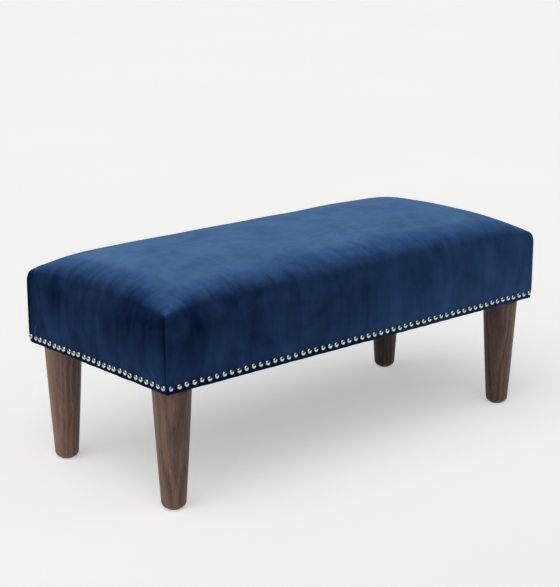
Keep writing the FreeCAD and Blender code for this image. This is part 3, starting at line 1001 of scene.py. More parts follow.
    def wall_row(self, x, y, side, height):
        """One closed row of points round the wall at a height above the hem, drooping between nails."""
        hem_radius = 0.0035
        hem_reach = 0.02
        hem_wave = 0.0005
        droop_reach = 0.010
        sink_reach = 0.05
        seat = self.seat
        inset = self.inset(height)
        shrink_x, shrink_y = 1 - inset / seat.half_length, 1 - inset / seat.half_width
        radius = seat.corner_radius + hem_radius * rest(height, hem_reach) - 0.4 * inset
        half_x, half_y = seat.half_length - inset, seat.half_width - inset
        row_x, row_y = rounded(x * shrink_x, y * shrink_y, half_x, half_y, radius)
        out_x, out_y = outward(x, y, seat)
        relief_here = self.wall_relief(side, x, y, np.full_like(x, height))
        stand = np.maximum(relief_here, -self.depth_free(height))
        wave = hem_wave * swell(x + y, x - y, wavelength=0.05, seed=31)
        drop = rest(height, droop_reach) * (wave - seat.hem_droop)
        near_top = rest(self.wall - height, sink_reach) ** 2
        drop = drop - near_top * self.sink(*self.edge_distances(x, y))
        return np.stack([row_x + stand * out_x, row_y + stand * out_y, seat.hem_z + height + drop], 1)

    def hem_row(self, x, y, inset):
        """One closed row of points of the cloth turned under the rails."""
        corner = 0.0015
        seat = self.seat
        half_x, half_y = seat.half_length - inset, seat.half_width - inset
        shrink_x, shrink_y = 1 - inset / seat.half_length, 1 - inset / seat.half_width
        row_x, row_y = rounded(x * shrink_x, y * shrink_y, half_x, half_y, corner)
        return np.stack([row_x, row_y, np.full_like(x, seat.hem_z)], 1)

    def beside_nail(self, side, along):
        """How far points along a wall stand from the nearest nail, and their place in the row, in nails."""
        nails = self.nails
        on_end = side % 2 == 1
        half = np.where(on_end, self.seat.half_width, self.seat.half_length) - nails.end_margin
        pitch = 2 * half / (np.where(on_end, nails.end_count, nails.side_count) - 1)
        phase = (along + half + np.where(side == 1, 1, -1) * nails.row_shift) / pitch
        return (phase - np.round(phase)) * pitch, phase

    def nailed(self, side, x, y, height):
        """How firmly a row of the wall is held: wholly at the hem, by the nails on their line, else not."""
        nails = self.nails
        if height == 0.0:
            return np.ones_like(x)
        if height > nails.line_height + 1e-6:
            return np.zeros_like(x)
        beside = self.beside_nail(side, np.where(side % 2 == 1, y, x))[0]
        return bell(beside, nails.head_radius)

    def sheet(self):
        """The plain cover for the simulation: points, faces and how firmly each point is held."""
        top_hold = 0.8
        top_reach = 0.08
        seat = self.seat
        along, across = (
            np.linspace(-half, half, round(2 * half / seat.sheet_spacing) + 1)
            for half in (seat.half_length, seat.half_width)
        )
        grid_x, grid_y = np.meshgrid(along, across)
        top_z = self.shoulder_z + crown_height(seat, grid_x, grid_y)
        top = np.stack([grid_x.ravel(), grid_y.ravel(), top_z.ravel()], 1)
        sheet = HungRows(top, *grid_faces(len(along), len(across)))
        hold = [top_hold * share(np.minimum(*self.edge_distances(grid_x, grid_y)), top_reach).ravel()]
        x, y, side = perimeter(across, along)
        rows = round(self.wall / seat.sheet_spacing)
        for height in (*np.linspace(self.wall, self.nails.line_height, rows + 1)[1:], 0.0):
            sheet.hang(np.stack([x, y, np.full_like(x, seat.hem_z + height)], 1))
            hold.append(self.nailed(side, x, y, height))
        return sheet.places(), sheet.faces, np.concatenate(hold)

    def top(self, grid_x, grid_y):
        """The points of the crowned top, leaning in at its edges as the walls do."""
        seat = self.seat
        from_end, from_side = self.edge_distances(grid_x, grid_y)
        top_x, top_y = rounded(grid_x, grid_y, seat.half_length, seat.half_width, seat.corner_radius)
        top_x = top_x - np.sign(grid_x) * self.lean(from_side, self.wall - from_end)
        top_y = top_y - np.sign(grid_y) * self.lean(from_end, self.wall - from_side)
        top_z = self.shoulder_z + crown_height(seat, grid_x, grid_y) + self.top_relief(grid_x, grid_y)
        return np.stack([top_x.ravel(), top_y.ravel(), top_z.ravel()], 1)

    def mesh(self):
        """The crowned top, the walls and the hem: points, faces and how deep in shade each point lies."""
        tip_shade = 0.75
        tip_reach = 0.012
        top_stretch = 1.4
        seat = self.seat
        along, across = graded(seat.half_length, **COVER_GRID), graded(seat.half_width, **COVER_GRID)
        grid_x, grid_y = np.meshgrid(along, across)
        from_end, from_side = (distance.ravel() for distance in self.edge_distances(grid_x, grid_y))
        x, y, side = perimeter(across, along)
        faces, edge = grid_faces(len(along), len(across))
        top = self.top(grid_x, grid_y)
        top[edge] = self.wall_row(x, y, side, self.wall)
        skin = HungRows(top, faces, edge)
        shades = [tip_shade * bell(np.hypot(from_end, from_side), tip_reach)]
        below = [np.zeros(len(top))]

        shoulder_heights = self.wall - np.cumsum(self.SHOULDER_STEPS)
        even_heights = np.linspace(shoulder_heights[-1], self.EVEN_TO, self.EVEN_ROWS + 1)[1:]
        for height in (*shoulder_heights, *even_heights):
            skin.hang(self.wall_row(x, y, side, height))
            shades.append(self.painted_shade(side, x, y, height))
            below.append(np.full(len(x), self.wall - height))

        x, y, side = halved(x), halved(y), np.repeat(side, 2)
        low_heights = (*np.linspace(*self.FINE_ROWS), *self.NAIL_ROWS)
        rows = [self.wall_row(x, y, side, height) for height in low_heights]
        rows += [self.hem_row(x, y, inset) for inset in (*self.HEM_STEPS, seat.hem_width)]
        shades += [self.painted_shade(side, x, y, height) for height in low_heights]
        shades += [np.zeros(len(x))] * (len(rows) - len(low_heights))
        below += [np.full(len(x), self.wall)] * len(rows)
        skin.hang(rows[0], splitting_faces)
        for row in rows[1:]:
            skin.hang(row)

        below = np.concatenate(below)
        places = eased(skin.places(), seat.half_length, seat.half_width, below, seat.corner_ease)
        from_shoulder = below.copy()
        from_shoulder[: len(top)] = top_stretch * np.minimum(from_end, from_side)
        return self.softened(places, skin.faces, from_shoulder), skin.faces, np.concatenate(shades)

    def softened(self, places, faces, from_shoulder):
        """The cover's points with the shoulder line smoothed out."""
        strongest = 0.6
        weakest = 0.003
        reach = 0.007
        rounds = 40
        pull = strongest * bell(from_shoulder, reach)
        return smoothed(places, faces, pull * (pull > weakest), rounds)


def settled(places, faces, hold, seat):
    """How far each point of a held sheet moves when the padding under it presses it out."""
    held_from = 0.001
    scene = bpy.context.scene
    mesh = bpy.data.meshes.new("pressed_sheet")
    mesh.from_pydata([tuple(place) for place in places], [], [tuple(face) for face in faces])
    sheet = bpy.data.objects.new("pressed_sheet", mesh)
    scene.collection.objects.link(sheet)
    group = sheet.vertex_groups.new(name="held")
    for number in np.flatnonzero(hold > held_from):
        group.add([int(number)], float(hold[number]), "REPLACE")
    cloth = sheet.modifiers.new("cloth", "CLOTH")
    for name, value in CLOTH.items():
        setattr(cloth.settings, name, value)
    cloth.settings.vertex_group_mass = "held"
    cloth.settings.use_pressure = True
    cloth.settings.uniform_pressure_force = seat.pressure
    cloth.settings.effector_weights.gravity = 0.0
    cloth.point_cache.frame_start = 1
    cloth.point_cache.frame_end = seat.frames
    for number in range(1, seat.frames + 1):
        scene.frame_set(number)
    pressed = sheet.evaluated_get(bpy.context.evaluated_depsgraph_get()).data
    ends = np.empty(3 * len(places))
    pressed.vertices.foreach_get("co", ends)
    move = ends.reshape(-1, 3) - places
    scene.frame_set(1)
    bpy.data.objects.remove(sheet)
    size = np.maximum(np.linalg.norm(move, axis=1, keepdims=True), TINY)
    return move * np.minimum(1.0, seat.swell_limit / size)


def carried(places, sheet_places, sheet_faces, move):
    """Points moved with the spot of a simulated sheet that they lie nearest to."""
    corners = [Vector(place) for place in sheet_places]
    tree = BVHTree.FromPolygons(corners, [[int(corner) for corner in face] for face in sheet_faces])
    moved = places.copy()
    for number, place in enumerate(places):
        spot, _, face, _ = tree.find_nearest(place)
        shares = poly_3d_calc([corners[corner] for corner in sheet_faces[face]], spot)
        moved[number] += np.array(shares) @ move[list(sheet_faces[face])]
    return moved


def crowned_block(form, half_x, half_y, low_z, high_z):
    """A crowned pad under the cover, open below: its points, its faces and its lowest row."""
    slack_most = 0.010
    slack_aside = 0.035
    slack_inward = 0.05
    edge_depth = 0.03
    edge_rows = 6
    wall_rows = 5
    ease = 1.35 * form.seat.corner_ease
    seat = form.seat
    shoulder_z = high_z - seat.crown_rise
    along, across = graded(half_x, **PAD_GRID), graded(half_y, **PAD_GRID)
    grid_x, grid_y = np.meshgrid(along, across)
    from_end, from_side = half_x - np.abs(grid_x), half_y - np.abs(grid_y)
    slack = slack_most * rest(from_side, slack_aside) ** 2 * rest(from_end, slack_inward)
    top_x, top_y = rounded(grid_x, grid_y, half_x, half_y, seat.corner_radius)
    top_x = top_x - np.sign(grid_x) * (form.lean(from_side, form.wall - from_end) + slack)
    top_y = top_y - np.sign(grid_y) * form.lean(from_end, form.wall - from_side)
    crown = crown_height(seat, grid_x * seat.half_length / half_x, grid_y * seat.half_width / half_y)
    top_z = shoulder_z + crown - form.sink(from_end, from_side)
    top = np.stack([top_x.ravel(), top_y.ravel(), top_z.ravel()], 1)
    faces, edge = grid_faces(len(along), len(across))
    block = HungRows(top, faces, edge)
    below = [np.zeros(len(top))]
    edge_z = shoulder_z - edge_depth
    edge_heights = np.linspace(shoulder_z, edge_z, edge_rows + 1)[1:]
    for z in (*edge_heights, *np.linspace(edge_z, low_z, wall_rows + 1)[1:]):
        block.hang(np.stack([top[edge, 0], top[edge, 1], np.full(len(edge), z)], 1))
        below.append(np.full(len(edge), shoulder_z - z))
    places = eased(block.places(), half_x, half_y, np.concatenate(below), ease)
    return places, block.faces, block.lowest


# Geometry trees


def new_tree(name, **sockets):
    """A geometry tree with named inputs of these kinds; returns it with its input node's outputs."""
    tree = bpy.data.node_groups.new(name, "GeometryNodeTree")
    for label, kind in sockets.items():
        words = label.replace("_", " ")
        tree.interface.new_socket(name=words, in_out="INPUT", socket_type="NodeSocket" + kind)
    tree.interface.new_socket(name="Geometry", in_out="OUTPUT", socket_type="NodeSocketGeometry")
    return tree, tree.nodes.new("NodeGroupInput").outputs


def end_tree(tree, geometry, material):
    """Ends a tree: plain mesh with its finish."""
    real = wire(tree, "GeometryNodeRealizeInstances", {"Geometry": geometry}).outputs["Geometry"]
    values = {"Geometry": real, "Material": material}
    finished = wire(tree, "GeometryNodeSetMaterial", values).outputs["Geometry"]
    wire(tree, "NodeGroupOutput", {"Geometry": finished})
    return tree


def own_place(tree):
    """The X, Y and Z of each point of the geometry that the tree works on."""
    return split_xyz(tree, wire(tree, "GeometryNodeInputPosition").outputs["Position"])


def moved_points(tree, geometry, **change):
    """Geometry with its points set to a Position or moved by an Offset."""
    return wire(tree, "GeometryNodeSetPosition", {"Geometry": geometry, **change}).outputs["Geometry"]


def transformed(tree, geometry, **change):
    """Geometry with a Rotation or a Scale."""
    return wire(tree, "GeometryNodeTransform", {"Geometry": geometry, **change}).outputs["Geometry"]


def point_row(tree, count, start, step):
    """A straight row of points."""
    values = {"Count": count, "Start Location": start, "Offset": step}
    return wire(tree, "GeometryNodeMeshLine", values).outputs["Mesh"]


def set_out(tree, points, instance, **turn):
    """One instance at each point, with a Rotation where one is given."""
    values = {"Points": points, "Instance": instance, **turn}
    return wire(tree, "GeometryNodeInstanceOnPoints", values).outputs["Instances"]


def by_chance(tree, most, seed):
    """A random vector for each point, from minus the most to the most on each axis."""
    values = {"Min": tuple(-part for part in most), "Max": most, "Seed": seed}
    return wire(tree, "FunctionNodeRandomValue", values, data_type="FLOAT_VECTOR").outputs[0]


def scaled(tree, vector, size):
    """A vector times a size."""
    values = {0: vector, "Scale": size}
    return wire(tree, "ShaderNodeVectorMath", values, operation="SCALE").outputs["Vector"]


def nail_row_tree(material):
    """A row of domed nails, each a little turned and leaned, with square shanks."""
    tree, given = new_tree(
        "nail_row",
        Count="Int",
        Start="Vector",
        Step="Vector",
        Facing="Vector",
        Head_radius="Float",
        Head_height="Float",
        Shank_length="Float",
        Tilt="Float",
        Wander="Float",
        Seed="Int",
    )
    rim_depth = -0.28
    shank_radius = 0.0013
    ball_values = {"Segments": 14, "Rings": 8, "Radius": 1.0}
    ball = wire(tree, "GeometryNodeMeshUVSphere", ball_values).outputs["Mesh"]
    here = own_place(tree)
    flat_below = maths(tree, "MAXIMUM", here["Z"], rim_depth)
    dome = moved_points(tree, ball, Position=join_xyz(tree, X=here["X"], Y=here["Y"], Z=flat_below))
    size = join_xyz(tree, X=given["Head radius"], Y=given["Head radius"], Z=given["Head height"])
    head = transformed(tree, dome, Scale=size)
    spike_values = {
        "Vertices": 4,
        "Radius Top": 0.0,
        "Radius Bottom": shank_radius,
        "Depth": given["Shank length"],
    }
    spike = wire(tree, "GeometryNodeMeshCone", spike_values).outputs["Mesh"]
    shank = transformed(tree, spike, Rotation=(math.pi, 0.0, math.pi / 4))
    nail = wire(tree, "GeometryNodeJoinGeometry")
    for part in (head, shank):
        tree.links.new(part, nail.inputs["Geometry"])
    stray = scaled(tree, by_chance(tree, (1.0, 1.0, 1.0), given["Seed"]), given["Wander"])
    lean = scaled(tree, by_chance(tree, (1.0, 1.0, 3.0), given["Seed"]), given["Tilt"])
    row = moved_points(tree, point_row(tree, given["Count"], given["Start"], given["Step"]), Offset=stray)
    driven = set_out(tree, row, nail.outputs["Geometry"], Rotation=given["Facing"])
    values = {"Instances": driven, "Rotation": lean, "Local Space": True}
    leaned = wire(tree, "GeometryNodeRotateInstances", values).outputs["Instances"]
    return end_tree(tree, leaned, material)


def staple_row_tree(material):
    """A row of wire staples driven through cloth from below."""
    tree, given = new_tree(
        "staple_row",
        Count="Int",
        Start="Vector",
        Step="Vector",
        Facing="Vector",
        Width="Float",
        Wire="Float",
        Seed="Int",
    )
    skew_most = (0.0, 0.0, 0.22)
    bend_values = {"From Min": 0.0034, "From Max": 0.005, "To Min": 0.0, "To Max": 0.0016}
    half = times(tree, given["Width"], 0.5)
    ends = {"Start": join_xyz(tree, X=times(tree, half, -1.0)), "End": join_xyz(tree, X=half)}
    line = wire(tree, "GeometryNodeCurvePrimitiveLine", ends).outputs["Curve"]
    points = wire(tree, "GeometryNodeResampleCurve", {"Curve": line, "Count": 9}).outputs["Curve"]
    bend_values["Value"] = maths(tree, "ABSOLUTE", own_place(tree)["X"])
    bend = wire(tree, "ShaderNodeMapRange", bend_values, interpolation_type="SMOOTHSTEP").outputs["Result"]
    bent = moved_points(tree, points, Offset=join_xyz(tree, Z=bend))
    round_values = {"Resolution": 6, "Radius": times(tree, given["Wire"], 0.5)}
    circle = wire(tree, "GeometryNodeCurvePrimitiveCircle", round_values).outputs["Curve"]
    staple_values = {"Curve": bent, "Profile Curve": circle, "Fill Caps": True}
    staple = wire(tree, "GeometryNodeCurveToMesh", staple_values).outputs["Mesh"]
    row = point_row(tree, given["Count"], given["Start"], given["Step"])
    placed = set_out(tree, row, staple, Rotation=given["Facing"])
    values = {"Instances": placed, "Rotation": by_chance(tree, skew_most, given["Seed"])}
    skewed = wire(tree, "GeometryNodeRotateInstances", values).outputs["Instances"]
    return end_tree(tree, skewed, material)


def strap_set_tree(material):
    """A set of parallel straps that rise and dip where another set crosses them in a plain weave."""
    tree, given = new_tree(
        "strap_set",
        Count="Int",
        Pitch="Float",
        Crossing_pitch="Float",
        Crossing_phase="Float",
        Length="Float",
        Free_length="Float",
        Width="Float",
        Lift="Float",
        Level="Float",
        Turn="Vector",
    )
    grid_values = {"Size X": given["Length"], "Size Y": given["Width"], "Vertices X": 161, "Vertices Y": 5}
    strap = wire(tree, "GeometryNodeMeshGrid", grid_values).outputs["Mesh"]
    gaps = maths(tree, "SUBTRACT", given["Count"], 1.0)
    first = times(tree, given["Pitch"], times(tree, gaps, -0.5))
    start = join_xyz(tree, Y=first, Z=given["Level"])
    row = set_out(tree, point_row(tree, given["Count"], start, join_xyz(tree, Y=given["Pitch"])), strap)
    straps = wire(tree, "GeometryNodeRealizeInstances", {"Geometry": row}).outputs["Geometry"]
    here = own_place(tree)
    beat = maths(tree, "DIVIDE", added(tree, here["X"], given["Crossing phase"]), given["Crossing pitch"])
    wave = maths(tree, "COSINE", times(tree, beat, math.pi))
    row_place = maths(tree, "DIVIDE", maths(tree, "SUBTRACT", here["Y"], first), given["Pitch"])
    sign = maths(tree, "COSINE", times(tree, maths(tree, "ROUND", row_place), math.pi))
    half_gap = times(tree, given["Free length"], 0.5)
    over_gap = maths(tree, "LESS_THAN", maths(tree, "ABSOLUTE", here["X"]), half_gap)
    rise = times(tree, times(tree, wave, sign), times(tree, given["Lift"], over_gap))
    woven = moved_points(tree, straps, Offset=join_xyz(tree, Z=rise))
    return end_tree(tree, transformed(tree, woven, Rotation=given["Turn"]), material)


def grown(name, tree, **values):
    """A plain mesh object made by a geometry tree with these input values."""
    seed = bpy.data.objects.new(name + "_seed", bpy.data.meshes.new(name + "_seed"))
    bpy.context.scene.collection.objects.link(seed)
    modifier = seed.modifiers.new("make", "NODES")
    modifier.node_group = tree
    for item in tree.interface.items_tree:
        if item.in_out == "INPUT":
            modifier[item.identifier] = values[item.name.replace(" ", "_")]
    bpy.context.view_layer.update()
    mesh = bpy.data.meshes.new_from_object(seed.evaluated_get(bpy.context.evaluated_depsgraph_get()))
    mesh.name = name
    bpy.data.objects.remove(seed)
    mesh.polygons.foreach_set("use_smooth", [True] * len(mesh.polygons))
    piece = bpy.data.objects.new(name, mesh)
    bpy.context.scene.collection.objects.link(piece)
    return made(piece)


# Operators


class BENCH_OT_cover(Operator):
    """Makes the velvet cover: crowned top, folded corners, nail pulls and turned-under hem"""

    bl_idname = "bench.cover"
    bl_label = "Velvet cover"

    def execute(self, context):
        scene = context.scene
        seat = scene.bench_seat
        form = CoverForm(seat, scene.bench_nails)
        places, faces, shades = form.mesh()
        sheet_places, sheet_faces, hold = form.sheet()
        move = settled(sheet_places, sheet_faces, hold, seat)
        places = carried(places, sheet_places, sheet_faces, move)
        cover = mesh_object("seat_cover", places, faces, velvet_finish(scene.bench_finish))
        # Stores the painted shade of the corner folds, under the nails and at the top's corners
        cover.data.attributes.new("painted_shade", "FLOAT", "POINT").data.foreach_set("value", shades)
        fit_to_frame(made(cover), "velvet", "velvet_cover")
        thicken(cover, seat.cloth_thickness)
        return {"FINISHED"}


class BENCH_OT_padding(Operator):
    """Makes the foam, the wadding over it and the platform cloth under it"""

    bl_idname = "bench.padding"
    bl_label = "Padding"

    gap = 0.0005
    wadding_thickness = 0.0018
    wadding_edge = 0.02
    cloth_spacing = 0.03

    def execute(self, context):
        form = CoverForm(context.scene.bench_seat, context.scene.bench_nails)
        self.make_foam(form)
        self.make_wadding(form)
        self.make_platform()
        return {"FINISHED"}

    def make_foam(self, form):
        """The crowned block of cut foam."""
        half_x, half_y = FOAM_HIGH.x - self.gap, FOAM_HIGH.y - self.gap
        places, faces, rim = crowned_block(form, half_x, half_y, FOAM_LOW.z + self.gap, FOAM_HIGH.z)
        dark, light = (0.62, 0.50, 0.24), (0.82, 0.71, 0.42)
        look = mottled_finish("cut_foam", dark, light, 380.0, roughness=0.95, bump=0.5, depth=0.001)
        foam = mesh_object("foam_block", places, [*faces, rim], look)
        fit_to_frame(made(foam), "foam", "seat_foam")

    def make_wadding(self, form):
        """The layer of soft fibre between the foam and the cover."""
        half_x, half_y = WADDING_HIGH.x - self.gap, WADDING_HIGH.y - self.gap
        low_z, high_z = WADDING_LOW.z + self.wadding_edge, WADDING_HIGH.z - self.gap
        places, faces, _ = crowned_block(form, half_x, half_y, low_z, high_z)
        dark, light = (0.68, 0.68, 0.66), (0.86, 0.86, 0.84)
        look = mottled_finish("fibre_wadding", dark, light, 140.0, roughness=1.0, bump=0.6, depth=0.002)
        wadding = mesh_object("fibre_wadding", places, faces, look)
        thicken(fit_to_frame(made(wadding), "wadding", "seat_wadding"), self.wadding_thickness)

    def make_platform(self):
        """The cloth between the webbing and the foam."""
        look = woven_finish("platform_cloth", (0.34, 0.32, 0.27), (0.58, 0.55, 0.48), threads=900.0)
        places, faces = sheet_grid(PLATFORM_LOW, PLATFORM_HIGH, self.cloth_spacing, self.bedded)
        cloth = mesh_object("platform_sheet", places, faces, look)
        thickness = PLATFORM_HIGH.z - PLATFORM_LOW.z
        thicken(fit_to_frame(made(cloth), "platform_cloth", "platform_cloth"), thickness)

    @staticmethod
    def bedded(x, y):
        """The height of the cloth's upper face, lying a little unevenly on the webbing."""
        unevenness = 0.0002
        return PLATFORM_HIGH.z + unevenness * swell(x, y, wavelength=0.09, seed=41)


class BENCH_OT_webbing(Operator):
    """Weaves the webbing straps across the frame"""

    bl_idname = "bench.webbing"
    bl_label = "Webbing"

    weave_share = 0.55

    def execute(self, context):
        under = context.scene.bench_underside
        dark, light = (0.010, 0.010, 0.012), (0.05, 0.05, 0.055)
        tree = strap_set_tree(woven_finish("elastic_webbing", dark, light, threads=700.0))
        long_low, long_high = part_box("long_webbing_1")
        cross_low, cross_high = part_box("cross_webbing_1")
        inner_x, inner_y = 2 * -RAIL_HIGH.x, 2 * RAIL_HIGH.y
        cross_pitch = inner_x / under.cross_straps
        long_pitch = inner_y / under.long_straps
        sets = {
            "long": {
                "Count": under.long_straps,
                "Pitch": long_pitch,
                "Crossing_pitch": cross_pitch,
                "Crossing_phase": cross_pitch / 2 * ((under.cross_straps - 1) % 2),
                "Length": long_high.x - long_low.x,
                "Free_length": inner_x,
                "Turn": (0.0, 0.0, 0.0),
            },
            "cross": {
                "Count": under.cross_straps,
                "Pitch": cross_pitch,
                "Crossing_pitch": long_pitch,
                "Crossing_phase": long_pitch / 2 * ((under.long_straps - 1) % 2),
                "Length": cross_high.y - cross_low.y,
                "Free_length": inner_y,
                "Turn": (0.0, 0.0, math.pi / 2),
            },
        }
        alike = {
            "Width": under.strap_width,
            "Lift": self.weave_share * under.strap_thickness,
            "Level": RAIL_HIGH.z + under.strap_thickness / 2,
        }
        for run, values in sets.items():
            straps = grown(f"{run}_straps", tree, **values, **alike)
            nodes = [f"{run}_webbing_{number + 1}" for number in range(values["Count"])]
            thicken(fit_to_frame(straps, "webbing", *nodes), under.strap_thickness, offset=0.0)
        return {"FINISHED"}


class BENCH_OT_nails(Operator):
    """Sets the four rows of domed nails"""

    bl_idname = "bench.nails"
    bl_label = "Nails"

    first_seed = 5

    def execute(self, context):
        scene = context.scene
        seat, nails = scene.bench_seat, scene.bench_nails
        tree = nail_row_tree(nickel_finish(scene.bench_finish))
        sunk = seat.nail_draw + nails.seating
        out_x, out_y = seat.half_length - sunk, seat.half_width - sunk
        span_x, span_y = seat.half_length - nails.end_margin, seat.half_width - nails.end_margin
        z = seat.hem_z + nails.line_height
        rows = {
            "front": (nails.side_count, (-span_x, -out_y, z), (span_x, -out_y, z), 0.0),
            "right": (nails.end_count, (out_x, -span_y, z), (out_x, span_y, z), math.pi / 2),
            "rear": (nails.side_count, (span_x, out_y, z), (-span_x, out_y, z), math.pi),
            "left": (nails.end_count, (-out_x, span_y, z), (-out_x, -span_y, z), -math.pi / 2),
        }
        for number, (side, (count, start, end, turn)) in enumerate(rows.items()):
            run = Vector(end) - Vector(start)
            late = nails.row_shift if side == "front" else -nails.row_shift
            row = grown(
                f"nail_row_{side}",
                tree,
                Count=count,
                Start=Vector(start) + run.normalized() * late,
                Step=run / (count - 1),
                Facing=(math.pi / 2 - nails.lift, 0.0, turn),
                Head_radius=nails.head_radius,
                Head_height=nails.head_height,
                Shank_length=nails.shank_length,
                Tilt=nails.tilt,
                Wander=nails.wander,
                Seed=self.first_seed + number,
            )
            fit_to_frame(row, "nail_nickel", f"nails_{side}")
        return {"FINISHED"}


class BENCH_OT_legs(Operator):
    """Turns the four walnut legs"""

    bl_idname = "bench.legs"
    bl_label = "Legs"

    segments = 72
    foot_steps = 8
    taper_steps = 24

    def execute(self, context):
        scene = context.scene
        legs = scene.bench_legs
        look = walnut_finish(scene.bench_finish)
        for number, (corner, stain) in enumerate(LEG_TONE_AND_PAINTED_LIGHT.items()):
            low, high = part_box(f"leg_{corner}")
            centre = (low + high) / 2
            places, faces = turned_mesh(self.profile(legs, low.z, high.z), centre, self.segments)
            leg = mesh_object(f"turned_leg_{corner}", places, faces, look)
            self.lay_grain(leg, centre, number)
            # Each leg's tone, with painted light on its side towards the lights and painted shade on the
            # other
            self.lay_stain(leg, centre, legs.top_radius, *stain)
            fit_to_frame(made(leg), "stained_walnut", f"leg_{corner}")
        return {"FINISHED"}

    def profile(self, legs, low_z, high_z):
        """The leg's outline from its sole to its top: a rounded foot and a slightly full taper."""
        roundness = 1.15
        knee_z = low_z + legs.chamfer_height
        points = [(0.0, low_z), (legs.sole_radius - legs.sole_ease, low_z)]
        for step in range(1, self.foot_steps):
            turn = math.pi / 2 * step / self.foot_steps
            radius = between(legs.sole_radius, legs.foot_radius, math.sin(turn))
            points.append((radius, knee_z - legs.chamfer_height * math.cos(turn) ** roundness))
        points.append((legs.foot_radius, knee_z))
        for step in range(1, self.taper_steps + 1):
            up = step / self.taper_steps
            radius = between(legs.foot_radius, legs.top_radius, up) + legs.swell * math.sin(math.pi * up)
            points.append((radius, between(knee_z, high_z, up)))
        points.append((0.0, high_z))
        return points

    @staticmethod
    def lay_stain(leg, centre, radius, tone, fade, turn):
        """Stores the leg's tone with painted light and shade across it: lighter on the side towards the
        lights, darker on the other side.
        """
        # fade is how much lighter the side towards the lights is painted: painted light and shade
        towards = Vector((math.cos(math.radians(turn)), math.sin(math.radians(turn)))) / radius
        values = [tone + fade * towards.dot((vertex.co - centre).xy) for vertex in leg.data.vertices]
        leg.data.attributes.new("stain", "FLOAT", "POINT").data.foreach_set("value", values)

    @staticmethod
    def lay_grain(leg, centre, number):
        """Gives each leg its own place and turn in the log that its grain is drawn from."""
        turn = 2.1 + 0.5 * number
        log_x, log_y, log_z = 0.31 * number, 0.12, 0.7 * number
        cosine, sine = math.cos(turn), math.sin(turn)
        values = []
        for vertex in leg.data.vertices:
            x, y = vertex.co.x - centre.x, vertex.co.y - centre.y
            values += [x * cosine - y * sine + log_x, x * sine + y * cosine + log_y, vertex.co.z + log_z]
        leg.data.attributes.new("grain", "FLOAT_VECTOR", "POINT").data.foreach_set("vector", values)


class BENCH_OT_underside(Operator):
    """Stretches the dust cover under the seat and staples it"""

    bl_idname = "bench.underside"
    bl_label = "Dust cover and staples"

    cloth_spacing = 0.012
    wire_sunk = 0.3

    def execute(self, context):
        under = context.scene.bench_underside
        self.make_cloth(under)
        self.make_staples(under)
        return {"FINISHED"}

    def make_cloth(self, under):
        """The dust cover, hanging a little between its staples."""
        dark, light = (0.006, 0.006, 0.006), (0.022, 0.022, 0.023)
        look = mottled_finish("dust_cloth", dark, light, 520.0, roughness=0.95, bump=0.5, depth=0.0006)
        places, faces = sheet_grid(DUST_LOW, DUST_HIGH, self.cloth_spacing, partial(self.hang, under))
        cloth = mesh_object("dust_sheet", places, faces, look)
        thicken(fit_to_frame(made(cloth), "dust_cloth", "dust_cover"), DUST_HIGH.z - DUST_LOW.z)

    def make_staples(self, under):
        """A row of staples along each edge of the dust cover."""
        dark, light = (0.30, 0.30, 0.29), (0.62, 0.62, 0.60)
        steel = mottled_finish("staple_wire", dark, light, 300.0, roughness=0.35, metallic=1.0)
        tree = staple_row_tree(steel)
        edge_x, edge_y = DUST_HIGH.x - under.staple_inset, DUST_HIGH.y - under.staple_inset
        end_x, end_y = edge_x - under.staple_margin, edge_y - under.staple_margin
        z = DUST_LOW.z - under.staple_wire * self.wire_sunk
        rows = {
            "front": ((-end_x, -edge_y, z), (end_x, -edge_y, z), 0.0),
            "rear": ((-end_x, edge_y, z), (end_x, edge_y, z), 0.0),
            "left": ((-edge_x, -end_y, z), (-edge_x, end_y, z), math.pi / 2),
            "right": ((edge_x, -end_y, z), (edge_x, end_y, z), math.pi / 2),
        }
        for number, (side, (start, end, turn)) in enumerate(rows.items()):
            run = Vector(end) - Vector(start)
            count = 1 + round(run.length / under.staple_pitch)
            row = grown(
                f"staples_{side}",
                tree,
                Count=count,
                Start=start,
                Step=run / (count - 1),
                Facing=(0.0, 0.0, turn),
                Width=under.staple_width,
                Wire=under.staple_wire,
                Seed=number,
            )
            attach(row, BODY)

    @staticmethod
    def hang(under, x, y):
        """The dust cover's height: flat where it is stapled, hanging a little and rippled between."""
        stapled = 0.02
        free_over = 0.12
        ripple_share = 0.25
        free = share(DUST_HIGH.x - stapled - np.abs(x), free_over)
        free = free * share(DUST_HIGH.y - stapled - np.abs(y), free_over)
        ripple = between(1.0, swell(x, y, wavelength=0.14, seed=51), ripple_share)
        return DUST_HIGH.z - under.dust_sag * free * ripple


class BENCH_OT_frame_finishes(Operator):
    """Gives the timber, the fixings and the glides their finishes"""

    bl_idname = "bench.frame_finishes"
    bl_label = "Frame finishes"

    def execute(self, context):
        zinc_dark, zinc_light = (0.42, 0.42, 0.38), (0.66, 0.65, 0.60)
        glide_dark, glide_light = (0.010, 0.009, 0.009), (0.028, 0.026, 0.025)
        zinc = mottled_finish("zinc_plate", zinc_dark, zinc_light, 180.0, roughness=0.38, metallic=1.0)
        plastic = mottled_finish("glide_plastic", glide_dark, glide_light, 650.0, roughness=0.55)
        finishes = {"frame_timber": timber_finish(), "zinc_steel": zinc, "glide_plastic": plastic}
        slots = {part["node"]: part["material_slot"] for part in frame["record"]["subparts"]}
        for name, node in frame["nodes"].items():
            if slots[name] in finishes:
                node.data.materials.clear()
                node.data.materials.append(finishes[slots[name]])
        return {"FINISHED"}


